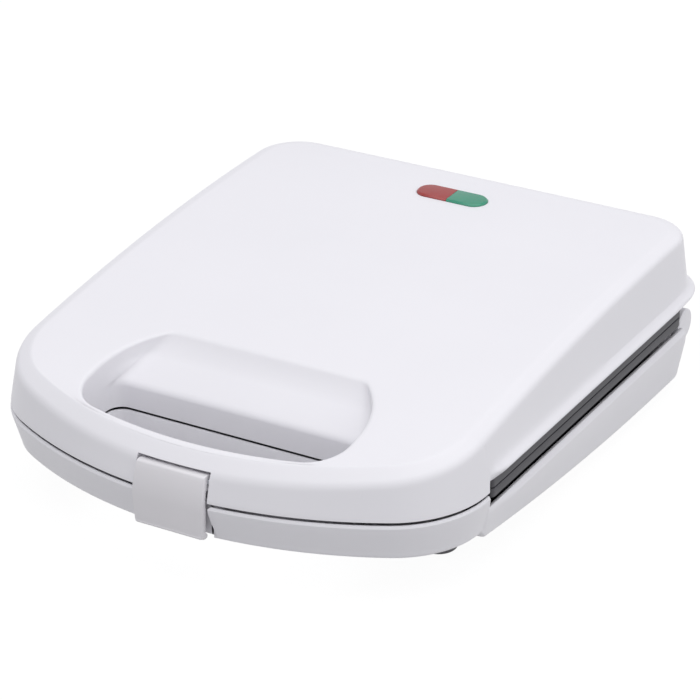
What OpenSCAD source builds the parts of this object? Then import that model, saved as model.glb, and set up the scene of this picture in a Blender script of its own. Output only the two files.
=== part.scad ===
// Sandwich toaster: a hinged lid and base, each with a ribbed non-stick plate,
// joined by two pins at the back and held shut by a swinging latch at the front.
// Local frame: x across, y back from the front of the parting line, z up from the parting line.

/* [Casing] */
// Width across the parting line
body_w = 220; // [206:1:240]
// Depth from the front of the parting line to the back wall
body_d = 266.5; // [262:0.5:280]
// Height of the parting line above the table
parting_h = 38; // [36:0.5:44]
// Radius of the bowed front
front_r = 182; // [165:1:220]
// Corner radius at the front, in plan
front_corner_r = 44; // [40:1:48]
// Corner radius at the back, in plan
back_corner_r = 20; // [18:1:22]
// Wall thickness of both casings
wall = 2.4; // [2:0.1:2.6]
// Distance in from the back wall at which the top and the bottom become level
level_in = 29.5; // [24:0.5:40]

/* [Lid] */
// Height of the lid's shoulder over the front edge
lid_front_h = 12; // [11.5:0.5:13]
// Height of the lid's shoulder over the back edge
lid_back_h = 35.5; // [33:0.5:38]
// How far the shoulder sits in from the parting line
shoulder_in = 2.7; // [2.2:0.1:3.2]
// Width of the sloping band round the top
band_w = 6.5; // [5:0.5:7]
// Rise of the top over the shoulder
lid_crown = 1.5; // [1:0.1:2]
// Extra rise of the band towards the front
front_crown = 1.7; // [1:0.1:2]
// Rise of the top's middle over its sides
lid_dome = 1; // [0:0.1:1.5]
// How far the lip beside the plates stands out
lip_out = 2; // [1.4:0.1:2.4]
// Height of the lip's ridge above the parting line
lip_h = 9.5; // [8.5:0.5:10]
// Height of the lip's lower edge, just above the upper plate
lip_bottom = 4.5; // [4.4:0.1:5]

/* [Base] */
// Height of the base under the front edge
base_front_h = 17; // [16.5:0.1:17.5]
// How much deeper the base gets from its front edge to the belly's step
front_fall = 2; // [1.5:0.1:2.5]
// Height of the belly where it steps down behind the finger opening
belly_front_h = 23; // [22.6:0.1:24]
// Height of the belly at the back
base_back_h = 33; // [32.5:0.1:34]
// How far the base wall leans in towards the bottom
base_draft = 3.4; // [2.8:0.1:3.8]
// Rounding between the wall and the bottom
base_round = 2.2; // [1.8:0.1:3]
// How far the base's back wall stands in from the lid's
base_back_in = 2; // [1.5:0.1:3]
// Depth of the side window's outer edge below the parting line
ledge_depth = 9; // [8:0.5:10]

/* [Finger opening] */
// Widest part of the opening
opening_w = 123; // [110:1:126]
// Distance of the opening from the front
opening_y = 13.7; // [13.2:0.1:15]
// Length of the opening at the parting line
opening_len = 40; // [38:0.5:41]
// Extra length of the opening at the lid's top
ramp_len = 22.8; // [18:0.2:24]
// Corner radius at the front of the opening
opening_corner_r = 18; // [15:1:20]

/* [Plates] */
// Gap between the plates when closed
plate_gap = 0.7; // [0.4:0.1:1]
// Thickness of the plate flange
plate_t = 3.85; // [3.4:0.05:3.85]
// Depth of each sandwich pocket
pocket_depth = 9; // [7:0.5:9.5]
// Thickness of a pocket's wall
pocket_wall = 2.2; // [1.8:0.1:2.4]
// Depth of the diagonal rib's edge behind the plate face
rib_drop = 1; // [0.5:0.1:2]
// Width of the diagonal rib
rib_w = 5; // [4:0.5:7]

/* [Heating] */
// Radius of the heater tubes
heater_r = 3.25; // [3:0.05:3.5]
// Distance between a heater's two runs
heater_span = 68; // [60:1:74]
// Thickness of the reflector sheet
sheet_t = 0.6; // [0.5:0.1:0.8]
// Radius of the thermostat body
thermostat_r = 7.5; // [7:0.5:9]

/* [Hinge] */
// Distance of the hinge axis in from the lid's back wall
hinge_in = 11.5; // [11:0.1:12]
// Radius of the hinge knuckles
knuckle_r = 7; // [6.6:0.1:7.2]
// Radius of the hinge pins
pin_r = 2.5; // [2:0.1:3]
// Depth of the hinge axis below the parting line
hinge_drop = 9.5; // [9:0.1:10]

/* [Latch] */
// Width of the latch at its bottom
latch_w = 33; // [28:0.5:36]
// Gap between the latch and the sides of its notch
notch_gap = 0.6; // [0.4:0.1:1]
// How far the latch bulges in front of the casing
latch_bulge = 1.7; // [1.2:0.1:2.5]
// Thickness of the latch
latch_t = 2.6; // [2.2:0.1:2.8]

/* [Lamps] */
// Length of the two lenses together
lamps_w = 34.4; // [30:0.2:38]
// Width of the lenses, front to back
lamps_d = 12.4; // [11:0.2:14]
// How far the lenses stand above the lid
lamps_rise = 1; // [0.5:0.1:1.5]
// Distance of the lenses in from the lid's back wall
lamps_in = 32.5; // [31:0.5:34]

/* [Feet] */
// Radius of the rubber feet
foot_r = 8; // [6:0.5:9]
// Distance of the front feet from the front
front_foot_y = 75; // [70:1:80]

/* [Mains inlet] */
// Radius of the bore for the cord
cord_bore_r = 3.6; // [3:0.1:4]
// Distance of the inlet from the middle
inlet_x = 60; // [50:1:66]

/* [Screws] */
// Radius of the screw shanks
screw_r = 1.5; // [1.3:0.1:1.7]
// Radius of the screw heads
screw_head_r = 3; // [2.8:0.1:3.2]

/* [Hidden] */
$fn = 64;
// Sides of the rounds inside the moulded casings
MOULD_FN = 32;
// Overlap that joins two shapes of one piece
JOIN = 0.05;
// Length that carries a cut right through
THROUGH = 60;

// --- casing, derived ---
half_w = body_w / 2;
// Depth of the base's own outline
base_d = body_d - base_back_in;
lid_edge = 0.6;
base_edge = 0.8;
level_y = body_d - level_in;
// Front and back limits of the whole object, and the middle between them
mid_y = (body_d + lip_out - latch_bulge) / 2;
// The wall's edge steps from the front's height to the window's between these two places
step_start = 61.5;
step_end = 66;
step_points_end = 68;
crown_end = body_d - 66.5;
shoulder_corner_r = front_corner_r + 2;
shoulder_back_r = back_corner_r + 4;
edge_round = 1.6;
// Points along each stretch of the half outline
N_FRONT = 8;
N_CORNER = 8;
N_STEP = 6;
N_SIDE = 12;
N_BACK_CORNER = 6;
N_BACK = 5;
// Rings of the base's bottom: the belly's front edge, the front part's edge, the opening's edge
BELLY_EDGE = 1;
FRONT_EDGE = 2;
OPENING_EDGE = 3;
// Share of the way in for a ring that runs along the bottom's edge
NEAR_EDGE = 0.03;

// --- finger opening, derived ---
opening_front_r = 215;
opening_foot_y = opening_y + opening_len;
opening_back_y = opening_foot_y + ramp_len;
// Share of the lid's height at which the ramp starts
ramp_foot = 0.4;
// Side and rear corner radii and the side's centre, at the parting line and at the top
side_r = [60, 45];
rear_r = [6.5, 8];
side_y = [40, 42];

// --- plates, derived ---
plate_half_w = half_w - 1;
plate_front = 58;
plate_wide_front = 66.5;
plate_back = body_d - 19.5;
plate_face = plate_gap / 2;
plate_top = plate_face + plate_t;
tongue_half_w = half_w - 8;
plate_corner_r = 2;
plate_back_r = 6;
pocket_x0 = 7;
pocket_x1 = plate_half_w - 12;
pocket_y0 = 82;
pocket_y1 = plate_back - 21;
pocket_r = 9;
pocket_draft = 3;
pocket_back = plate_face + pocket_depth + pocket_wall;
plate_boss_r = 4;
// Screw places in both plates: distance from the middle, distance from the front
plate_screws = [[62, 71], [58, plate_back - 7.5]];

// --- heating, derived ---
pocket_mid_y = (pocket_y0 + pocket_y1) / 2;
touch = 0.05;
heater_z = pocket_back + touch + heater_r;
heater_half_w = pocket_x1 - 12;
heater_bend_r = 14;
terminal_r = 1.5;
terminal_len = 8;
strap_t = 0.8;
strap_w = 10;
strap_x = 48;
strap_foot = 6;
reflector_z = heater_z + heater_r + strap_t + 0.9;
reflector_half_w = pocket_x1 + pocket_wall + 2;
reflector_y0 = pocket_y0 - pocket_wall - 1;
reflector_y1 = pocket_y1 + pocket_wall + 1;
lead_slot_x = 80;
lead_slot = [14, 4, 9];
thermostat_x = 30;
thermostat_h = 6.8;
thermostat_tab = [6.3, 0.8, 9];
fuse_r = 2.2;
fuse_len = 14;
fuse_lead_r = 0.5;
fuse_lead_len = 8;

// --- hinge, derived ---
hinge_y = body_d - hinge_in;
hinge_z = -hinge_drop;
bracket_x1 = half_w - 4;
bracket_x0 = bracket_x1 - 6.7;
web_t = 3.2;
arm_x1 = bracket_x0 - 0.8;
arm_x0 = arm_x1 - 10.5;
arm_r = knuckle_r - 0.5;
arm_plate_z = 8;
arm_plate_t = 3.2;
arm_front = plate_back - 15;
arm_back = hinge_y + 3.5;
running_fit = 0.06;
press_fit = 0.01;
// Clearance between parts that are screwed or clipped together
part_gap = 0.1;
slot_gap = 1;
slot_floor = hinge_z - 9.5;
bracket_foot_t = 3;
bracket_foot_len = 22;
bracket_foot_y = body_d - 22.5;
hinge_screw_x = (arm_x0 + arm_x1) / 2;
arm_screws_y = [plate_back - 8, plate_back + 5];
bracket_screw_x = bracket_x0 + web_t / 2 - 4.6;
bracket_screws_y = [bracket_foot_y - 17, bracket_foot_y - 6];
bracket_boss_r = 3.5;
bracket_boss_h = 7;

// --- latch, derived ---
latch_half_w = latch_w / 2;
latch_taper = 0.7;
latch_top = 11.4;
latch_bottom = -base_front_h - 0.8;
hook_t = 2;
hook_gap = 0.3;
latch_mid_z = -3;
latch_top_y = 1.8;
latch_arc_r = (pow(latch_top - latch_mid_z, 2) + pow(latch_top_y + latch_bulge, 2))
    / (2 * (latch_top_y + latch_bulge));
latch_pivot_y = 4.8;
latch_pivot_z = 8.2;
latch_knuckle_r = 3;
latch_pin_r = 1.4;
latch_top_round = 1.5;
latch_round = 2.6;
roll_lap = 0.3;
notch_half_w = latch_half_w + notch_gap;
notch_top = latch_top + 1.4;
notch_back = latch_pivot_y + latch_knuckle_r + 0.5;
bar_front = 5.3;
bar_back = bar_front + wall;
bar_shelf = opening_y - bar_front - wall / 2;
bar_bottom = latch_bottom + hook_t + hook_gap;
hook_end = 5.1;
cheek_t = 4;

// --- lamps, derived ---
lamps_y = body_d - lamps_in;
lens_gap = 0.2;
lens_bottom = top_z(0, lamps_y) - wall - 0.7;
lens_top = top_z(0, lamps_y) + lamps_rise;
lens_flange = 1.3;
lens_flange_t = 1;
holder_h = 8;
holder_top = lens_bottom - lens_flange_t - 0.2;
holder_half_w = lamps_w / 2 + 4;
holder_d = lamps_d + 2;
holder_ear = 6;
holder_floor = 2;
lamp_r = 3;
lamp_body_h = 3.2;
lamp_pitch = lamps_w / 2;
holder_ear_w = 8;
holder_ear_t = 1.8;
holder_ear_drop = 4;
wire_hole_r = 1.4;
holder_screw_x = holder_half_w + holder_ear / 2;

// --- feet, derived ---
foot_x = half_w - 30;
rear_foot_y = body_d - 31.5;
foot_inset = 0.5;
peg_gap = 0.15;
foot_peg_r = foot_r - 4;
foot_boss_r = foot_r + 1.5;
foot_boss_bottom = -parting_h + 3.6;
foot_peg_h = wall + 0.5;

// --- mains inlet, derived ---
inlet_z = -22;
gland_body_r = cord_bore_r + 2.4;
gland_flange_r = gland_body_r + 2.4;
gland_flange_t = 1.2;
gland_len = 11.5;
gland_out = base_d + 0.8;
block_size = [30, 12, 9];
block_pos = [-34, plate_back - 5, -base_back_h + wall + 0.3];
block_bore_r = 1.8;
block_ways = 3;

// --- screws, derived ---
head_t = 1.8;
hole_gap = 0.25;
screw_len = 11;
lower_screw_len = 9;
bracket_screw_len = 8;
holder_screw_len = 5;
// How far the heads of the lower plate's screws sit below its flange
lower_screw_drop = 8.2;
// Depth of the upper plate's seats for its screws' heads
head_seat = head_t + 0.2;

// --- functions ---
function clamp(v) = min(max(v, 0), 1);
function mix(a, b, t) = a + (b - a) * t;
function smooth(v) = let (t = clamp(v)) t * t * (3 - 2 * t);
function rise(y) = pow(max(1 - y / level_y, 0), 2);
// Heights of the shoulder, the lid's top and the bottom at a distance from the front
function ridge_z(y) = mix(lid_back_h, lid_front_h, rise(y));
function top_z(x, y) =
    ridge_z(y) + lid_crown + front_crown * max(1 - y / crown_end, 0)
    + lid_dome * max(1 - pow(x / half_w, 2), 0);
// 0 beside the front, 1 beside the window and the back
function beside(y) = smooth((y - step_start) / (step_end - step_start));
// Bottom of the base: shallow at the front, then a step down to the belly
function belly_z(y) = -mix(
    base_back_h, belly_front_h, pow(max(1 - (y - step_start) / (level_y - step_start), 0), 2)
);
function bottom_z(y) = mix(
    -base_front_h - front_fall * clamp(y / step_start), belly_z(y), beside(y)
);
// 0 beside the window, 1 at the back wall between the hinges
function between(x, y) = y > base_d - back_corner_r ? smooth((arm_x0 - 3 - abs(x)) / 4) : 0;

// Arc as [x, y, normal x, normal y]
function arc(cx, cy, r, a0, a1, n, first = 0) = [
    for (i = [first:n])
        let (a = mix(a0, a1, i / n)) [cx + r * cos(a), cy + r * sin(a), cos(a), sin(a)]
];

// Right half of the casing's outline, from the middle of the front to the middle of the back
function body_outline(rc, rb, depth = body_d) =
    let (
        cx = half_w - rc,
        cy = front_r - sqrt(pow(front_r - rc, 2) - cx * cx),
        bow = atan2(cx, front_r - cy),
        back = depth - rb
    )
    concat(
        arc(0, front_r, front_r, -90, -90 + bow, N_FRONT),
        arc(cx, cy, rc, -90 + bow, 0, N_CORNER, 1),
        [for (i = [1:N_STEP]) [half_w, mix(cy, step_points_end, i / N_STEP), 1, 0]],
        [
            for (i = [1:N_SIDE - N_STEP - 1])
                [half_w, mix(step_points_end, back, i / (N_SIDE - N_STEP)), 1, 0]
        ],
        arc(half_w - rb, back, rb, 0, 90, N_BACK_CORNER),
        // The first point marks the end of the hinge slot
        [for (i = [0:2]) [arm_x0 - 3 - 2 * i, depth, 0, 1]],
        [for (i = [1:N_BACK - 3]) [mix(arm_x0 - 7, 0, i / (N_BACK - 3)), depth, 0, 1]]
    );

// Right half of the finger opening, u = 0 at the parting line and 1 at the lid's top
function opening_outline(u) =
    let (
        half = opening_w / 2,
        fy = opening_y + opening_front_r,
        cx = half - opening_corner_r,
        cy = fy - sqrt(pow(opening_front_r - opening_corner_r, 2) - cx * cx),
        bow = atan2(cx, fy - cy),
        sr = mix(side_r[0], side_r[1], u),
        rr = mix(rear_r[0], rear_r[1], u),
        sy = mix(side_y[0], side_y[1], u),
        ry = mix(opening_foot_y, opening_back_y, u) - rr,
        dx = sqrt(pow(sr - rr, 2) - pow(ry - sy, 2)),
        turn = atan2(ry - sy, dx),
        rx = half - sr + dx
    )
    concat(
        arc(0, fy, opening_front_r, -90, -90 + bow, N_FRONT),
        arc(cx, cy, opening_corner_r, -90 + bow, 0, N_CORNER, 1),
        arc(half - sr, sy, sr, 0, turn * (N_SIDE - 2) / (N_SIDE - 1), N_SIDE - 2),
        arc(rx, ry, rr, turn, 90, N_BACK_CORNER),
        [for (i = [1:N_BACK]) [mix(rx, 0, i / N_BACK), ry + rr, 0, 1]]
    );

// Whole ring from its right half
function ring(half) = concat(
    half,
    [for (i = [len(half) - 2:-1:1]) [-half[i][0], half[i][1], half[i][2]]]
);

// Ring along the shoulder, some way in from the outline and below the shoulder's height
function shoulder_ring(inset, drop) = ring([
    for (p = body_outline(shoulder_corner_r, shoulder_back_r))
        let (y = p[1] - p[3] * inset) [p[0] - p[2] * inset, y, ridge_z(p[1]) - drop]
]);

// Ring round a casing's wall: [inset, z] beside the front, beside the window and at the back
function wall_ring(front, window, back, depth = body_d) = ring([
    for (p = body_outline(front_corner_r, back_corner_r, depth))
        let (
            rear = mix(window, back, between(p[0], p[1])),
            at = mix(front, rear, beside(p[1]))
        )
        [p[0] - p[2] * at[0], p[1] - p[3] * at[0], at[1]]
]);

// Ring round the bottom of the base's wall, its step moved back by a shift
function low_ring(inset, up, shift = 0) = ring([
    for (p = body_outline(front_corner_r, back_corner_r, base_d))
        let (y = p[1] - p[3] * inset) [p[0] - p[2] * inset, y, bottom_z(y - shift) + up]
]);

// Ring of the lid's top, t = 0 at the band and 1 at the opening
function top_ring(t, drop, grow) =
    let (
        a = body_outline(shoulder_corner_r, shoulder_back_r),
        b = opening_outline(1),
        inset = shoulder_in + band_w
    )
    ring([
        for (i = [0:len(a) - 1])
            let (
                x = mix(a[i][0] - a[i][2] * inset, b[i][0] + b[i][2] * grow, t),
                y = mix(a[i][1] - a[i][3] * inset, b[i][1] + b[i][3] * grow, t)
            )
            [x, y, top_z(x, y) - drop]
    ]);

// Share of the way from a bottom's edge at y = a to the opening at y = b: below BELLY_EDGE
// it is part of the way over the belly, then come the two ends of the step and the opening
function bottom_share(a, b, part, shift) =
    let (
        deep = a > step_end + shift ? (a - step_end - shift) / (a - b) : 0,
        shallow = a > step_start + shift ? (a - step_start - shift) / (a - b) : 0
    )
    part == OPENING_EDGE ? 1
        : part == FRONT_EDGE ? max(shallow, 2 * NEAR_EDGE)
        : part * max(deep, NEAR_EDGE);

// Ring of the base's bottom, its step moved back by a shift
function bottom_ring(part, inset, up, grow, shift = 0) =
    let (a = body_outline(front_corner_r, back_corner_r, base_d), b = opening_outline(0))
    ring([
        for (i = [0:len(a) - 1])
            let (
                ax = a[i][0] - a[i][2] * inset,
                ay = a[i][1] - a[i][3] * inset,
                bx = b[i][0] + b[i][2] * grow,
                by = b[i][1] + b[i][3] * grow,
                t = bottom_share(ay, by, part, shift),
                y = mix(ay, by, t)
            )
            [mix(ax, bx, t), y, bottom_z(y - shift) + up]
    ]);

// Ring of the recess in the lid, u along the ramp and v up to the rim
function recess_ring(u, v, grow, drop) =
    let (a = opening_outline(u), rim = opening_outline(1))
    ring([
        for (i = [0:len(a) - 1])
            [
                a[i][0] + a[i][2] * grow,
                a[i][1] + a[i][3] * grow,
                mix(lid_edge, top_z(rim[i][0], rim[i][1]), v) - drop
            ]
    ]);

// Ring of the opening's wall in the base
function hole_ring(grow, z) = ring([
    for (p = opening_outline(0)) [p[0] + p[2] * grow, p[1] + p[3] * grow, z]
]);

// --- shared shapes ---
module placed() {
    translate([0, -mid_y, parting_h]) children();
}

// Both sides of the middle plane
module pair() {
    children();
    mirror([1, 0, 0]) children();
}

// Closed skin through rings that follow one another round a section
module ring_solid(rings) {
    n = len(rings[0]);
    m = len(rings);
    polyhedron(
        points = [for (r = rings) each r],
        faces = [
            for (i = [0:m - 1])
                for (j = [0:n - 1])
                    let (
                        k = (i + 1) % m,
                        l = (j + 1) % n,
                        a = i * n + j,
                        b = i * n + l,
                        c = k * n + l,
                        d = k * n + j
                    )
                    each [[a, b, c], [a, c, d]]
        ],
        convexity = 8
    );
}

// Closed frustum between two outlines with the same number of points
module frustum(low, high, z0, z1) {
    n = len(low);
    polyhedron(
        points = concat([for (p = low) [p[0], p[1], z0]], [for (p = high) [p[0], p[1], z1]]),
        faces = concat(
            [[for (i = [0:n - 1]) i], [for (i = [0:n - 1]) 2 * n - 1 - i]],
            [for (i = [0:n - 1]) let (j = (i + 1) % n) [i, n + i, n + j, j]]
        )
    );
}

// Tapered moulded boss
module boss(x, y, z0, z1, r0, r1) {
    hull() {
        translate([x, y, z0]) cylinder(h = JOIN, r = r0, $fn = MOULD_FN);
        translate([x, y, z1 - JOIN]) cylinder(h = JOIN, r = r1, $fn = MOULD_FN);
    }
}

// Rectangle with rounded corners, from corner to corner
module rounded_rect(x0, x1, y0, y1, r) {
    translate([x0 + r, y0]) square([x1 - x0 - 2 * r, y1 - y0]);
    translate([x0, y0 + r]) square([x1 - x0, y1 - y0 - 2 * r]);
    for (x = [x0 + r, x1 - r])
        for (y = [y0 + r, y1 - r])
            translate([x, y]) circle(r);
}

// Screw with its head at z = 0 and its shank up
module screw(length) {
    translate([0, 0, -head_t]) cylinder(h = head_t, r = screw_head_r);
    cylinder(h = length, r = screw_r);
}

// Profile in y and z, extruded across from x0 to x1
module across(x0, x1) {
    translate([x0, 0, 0])
        rotate([90, 0, 90])
            linear_extrude(height = x1 - x0) children();
}

// --- lid ---
module lid_shell() {
    inner = shoulder_in + wall;
    rings = [
        recess_ring(0, 0, 0, 0),
        recess_ring(0, ramp_foot - 0.05, 0, 0),
        recess_ring(0.05, ramp_foot + 0.05, 0, 0),
        recess_ring(0.94, 0.95, 0, 0),
        recess_ring(1, 1, 0.2, 0.4),
        recess_ring(1, 1, edge_round, 0),
        top_ring(0.8, 0, edge_round),
        top_ring(0.6, 0, edge_round),
        top_ring(0.4, 0, edge_round),
        top_ring(0.2, 0, edge_round),
        top_ring(0, 0, edge_round),
        shoulder_ring(shoulder_in + 3.2, -0.75),
        shoulder_ring(shoulder_in + 1.1, 0.2),
        shoulder_ring(shoulder_in + 0.3, 1),
        shoulder_ring(shoulder_in, 2.4),
        wall_ring([0.2, lid_edge + 1.2], [-lip_out, lip_h], [-lip_out, lip_h]),
        wall_ring([0, lid_edge], [1.3, lip_bottom], [1.3, lip_bottom]),
        wall_ring([wall, lid_edge], [2.5, lip_bottom], [2.5, lip_bottom]),
        wall_ring([wall, lid_edge + 1.2], [1.8, lip_h], [1.8, lip_h]),
        shoulder_ring(inner, wall + 0.6),
        top_ring(0, wall, wall),
        top_ring(0.35, wall, wall),
        top_ring(0.7, wall, wall),
        recess_ring(1, 1, wall, wall),
        recess_ring(0.05, ramp_foot, wall, 0.6),
        recess_ring(0, ramp_foot - 0.1, wall, 0.4),
        recess_ring(0, 0, wall, 0)
    ];
    ring_solid(rings);
}

// Pocket behind the latch, in y and z
module latch_pocket_profile(grow) {
    foot = lid_edge + 0.3;
    polygon([
        [bar_front - 1.8 * grow, foot],
        [notch_back + grow, foot],
        [notch_back + grow, notch_top + 1.4 * grow],
        [bar_front + 0.6 * grow, notch_top + 0.1],
        [bar_front - 0.3 * grow, notch_top - 1.4]
    ]);
}

module lid_cover() {
    placed()
    color("white")
    difference() {
        union() {
            lid_shell();
            across(-notch_half_w - cheek_t, notch_half_w + cheek_t) latch_pocket_profile(1.5);
            pair() {
                for (s = plate_screws)
                    boss(s[0], s[1], plate_top + 0.2, top_z(s[0], s[1]) - wall / 2, plate_boss_r, 4.6);
                for (y = arm_screws_y)
                    boss(
                        hinge_screw_x, y, arm_plate_z + arm_plate_t,
                        top_z(hinge_screw_x, y) - wall, 4, 4.4
                    );
                boss(
                    holder_screw_x, lamps_y, holder_top - 2,
                    top_z(holder_screw_x, lamps_y) - wall / 2, 2.8, 3
                );
            }
        }
        // Notch for the latch, with the holes of its pin
        translate([-notch_half_w, -THROUGH, -THROUGH])
            cube([2 * notch_half_w, THROUGH + notch_back, THROUGH + notch_top]);
        translate([-notch_half_w - cheek_t + 1, latch_pivot_y, latch_pivot_z])
            rotate([0, 90, 0])
                cylinder(h = 2 * (notch_half_w + cheek_t - 1), r = latch_pin_r + 0.1, $fn = MOULD_FN);
        // Window of the lamps
        translate([0, lamps_y, holder_top])
            linear_extrude(height = THROUGH) pill(lens_gap);
        // Screw holes
        pair() {
            for (s = plate_screws)
                translate([s[0], s[1], 0])
                    cylinder(h = plate_top + screw_len, r = screw_r + hole_gap, $fn = MOULD_FN);
            for (y = arm_screws_y)
                translate([hinge_screw_x, y, 0])
                    cylinder(
                        h = arm_plate_z + screw_len + 1, r = screw_r + hole_gap, $fn = MOULD_FN
                    );
            translate([holder_screw_x, lamps_y, holder_top - holder_ear_drop])
                cylinder(h = holder_screw_len + 1, r = screw_r + hole_gap, $fn = MOULD_FN);
        }
    }
}

// --- base ---
module base_shell() {
    inner = base_draft + wall;
    back_edge = 3.5;
    ledge_top = 2.8 - ledge_depth;
    floor_in = inner + 1;
    rings = [
        bottom_ring(OPENING_EDGE, 0, 0, edge_round),
        bottom_ring(OPENING_EDGE, 0, edge_round, 0),
        hole_ring(0, -base_edge - 0.8),
        hole_ring(0.6, -base_edge),
        hole_ring(wall, -base_edge),
        bottom_ring(OPENING_EDGE, 0, wall, wall, wall),
        bottom_ring(FRONT_EDGE, floor_in, wall, wall, wall),
        bottom_ring(BELLY_EDGE, floor_in, wall, wall, wall),
        bottom_ring(0.67, floor_in, wall, wall, wall),
        bottom_ring(0.33, floor_in, wall, wall, wall),
        bottom_ring(0, floor_in, wall, wall, wall),
        low_ring(inner, base_round + wall, wall),
        wall_ring([wall, -base_edge], [2.9, ledge_top], [2.9, -back_edge], base_d),
        wall_ring([0.6, -base_edge], [1.4, ledge_top], [1, -back_edge], base_d),
        wall_ring([-0.3, -base_edge - 1.2], [-0.5, -ledge_depth], [0, -back_edge - 1.2], base_d),
        low_ring(base_draft, base_round),
        low_ring(base_draft + 0.3 * base_round, 0.3 * base_round),
        low_ring(base_draft + base_round, 0),
        bottom_ring(0.33, base_draft + base_round, 0, edge_round),
        bottom_ring(0.67, base_draft + base_round, 0, edge_round),
        bottom_ring(BELLY_EDGE, base_draft + base_round, 0, edge_round),
        bottom_ring(FRONT_EDGE, base_draft + base_round, 0, edge_round)
    ];
    ring_solid(rings);
}

module base_cover() {
    floor_z = -base_back_h + wall / 2;
    placed()
    color("white")
    difference() {
        union() {
            base_shell();
            // Bar that the latch hooks under
            translate([-notch_half_w - 2, bar_front, bar_bottom - 1])
                cube([2 * notch_half_w + 4, wall, -base_edge - bar_bottom + 0.6]);
            translate([-notch_half_w - 2, bar_front, bar_bottom - 1])
                cube([2 * notch_half_w + 4, bar_shelf, wall + 1]);
            pair() {
                for (s = plate_screws)
                    boss(
                        s[0], s[1], bottom_z(s[1]) + wall / 2, -plate_top - 5.2,
                        screw_head_r + 2.6, screw_head_r + 2
                    );
                boss(
                    foot_x, front_foot_y, foot_boss_bottom, bottom_z(front_foot_y) + wall / 2,
                    foot_boss_r, foot_boss_r + 1.5
                );
                for (y = bracket_screws_y)
                    boss(bracket_screw_x, y, floor_z, -base_back_h + wall + 0.4, 4.6, 4.2);
            }
        }
        // Notch for the latch and its hook
        translate([-notch_half_w, -THROUGH, -THROUGH])
            cube([2 * notch_half_w, THROUGH + bar_front, 2 * THROUGH]);
        translate([-notch_half_w, -THROUGH, -THROUGH])
            cube([2 * notch_half_w, THROUGH + bar_back + 0.4, THROUGH + bar_bottom]);
        pair() {
            // Slot for the swinging arm and room for the fixed knuckle
            translate([arm_x0 - slot_gap, hinge_y - knuckle_r - 0.5, slot_floor])
                cube([bracket_x0 - arm_x0 + slot_gap + 0.4, THROUGH, THROUGH]);
            translate([bracket_x0 - 0.4, hinge_y, hinge_z])
                rotate([0, 90, 0])
                    cylinder(h = THROUGH, r = knuckle_r + 0.5, $fn = MOULD_FN);
            translate([bracket_x0 - 0.4, hinge_y - knuckle_r - 0.5, hinge_z])
                cube([THROUGH, THROUGH, THROUGH]);
            // Screws of the plate, from below
            for (s = plate_screws) {
                translate([s[0], s[1], -THROUGH])
                    cylinder(
                        h = THROUGH - plate_top - lower_screw_drop,
                        r = screw_head_r + hole_gap,
                        $fn = MOULD_FN
                    );
                translate([s[0], s[1], -THROUGH])
                    cylinder(h = THROUGH, r = screw_r + hole_gap, $fn = MOULD_FN);
            }
            // Screws of the hinge brackets, from below
            for (y = bracket_screws_y)
                translate([bracket_screw_x, y, -THROUGH])
                    cylinder(h = THROUGH, r = screw_r + hole_gap, $fn = MOULD_FN);
            // Seats of the feet
            translate([foot_x, front_foot_y, foot_boss_bottom - foot_inset])
                cylinder(h = foot_peg_h + 2 * foot_inset, r = foot_peg_r + peg_gap, $fn = MOULD_FN);
            translate([foot_x, rear_foot_y, -THROUGH])
                cylinder(h = THROUGH, r = foot_peg_r + peg_gap, $fn = MOULD_FN);
        }
        translate([-inlet_x, base_d - THROUGH / 3, inlet_z])
            rotate([-90, 0, 0])
                cylinder(h = THROUGH, r = gland_body_r + 0.2, $fn = MOULD_FN);
    }
}

// --- plates ---
// Corner of a triangular pocket: arc of n steps round a corner from angle a0 to a1
function corner(x, y, r, a0, a1) = [for (p = arc(x, y, r, a0, a1, 4)) [p[0], p[1]]];

// Outline of a triangular pocket whose right angle is at (x0, y0), legs lx and ly
function triangle(x0, y0, lx, ly, r, inset) =
    let (
        slope = atan2(ly, lx),
        // Distance of the slanted side from the right angle, and the corners' centres
        near = r,
        far_x = lx - (r / tan(slope / 2)),
        far_y = ly - (r / tan((90 - slope) / 2)),
        q = r - inset
    )
    concat(
        corner(x0 + near, y0 + near, q, 180, 270),
        corner(x0 + far_x, y0 + near, q, -90, 90 - slope),
        corner(x0 + near, y0 + far_y, q, 90 - slope, 180)
    );

function turned(points, cx, cy) = [for (p = points) [2 * cx - p[0], 2 * cy - p[1]]];

module pocket(x0, x1, y0, y1) {
    cx = (x0 + x1) / 2;
    cy = (y0 + y1) / 2;
    slope = atan2(y1 - y0, x1 - x0);
    lx = x1 - x0 - rib_w / 2 / sin(slope);
    ly = y1 - y0 - rib_w / 2 / cos(slope);
    rib_len = norm([x1 - x0, y1 - y0]) - 4 * pocket_r;
    mouth = triangle(x0, y0, lx, ly, pocket_r, 0);
    bottom = triangle(x0, y0, lx, ly, pocket_r, pocket_draft);
    frustum(mouth, bottom, plate_face - JOIN, plate_face + pocket_depth);
    frustum(
        turned(mouth, cx, cy), turned(bottom, cx, cy), plate_face - JOIN, plate_face + pocket_depth
    );
    // Edge of the rib between the two triangles, set back from the face
    translate([cx, cy, plate_face - JOIN])
        rotate([0, 0, -slope])
            translate([-rib_len / 2, -rib_w / 2 - JOIN, 0])
                cube([rib_len, rib_w + 2 * JOIN, rib_drop + JOIN]);
}

// Rounded rectangle as points
function rect_points(x0, x1, y0, y1, r, inset) =
    let (q = r - inset)
    concat(
        corner(x0 + r, y0 + r, q, 180, 270),
        corner(x1 - r, y0 + r, q, 270, 360),
        corner(x1 - r, y1 - r, q, 0, 90),
        corner(x0 + r, y1 - r, q, 90, 180)
    );

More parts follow.
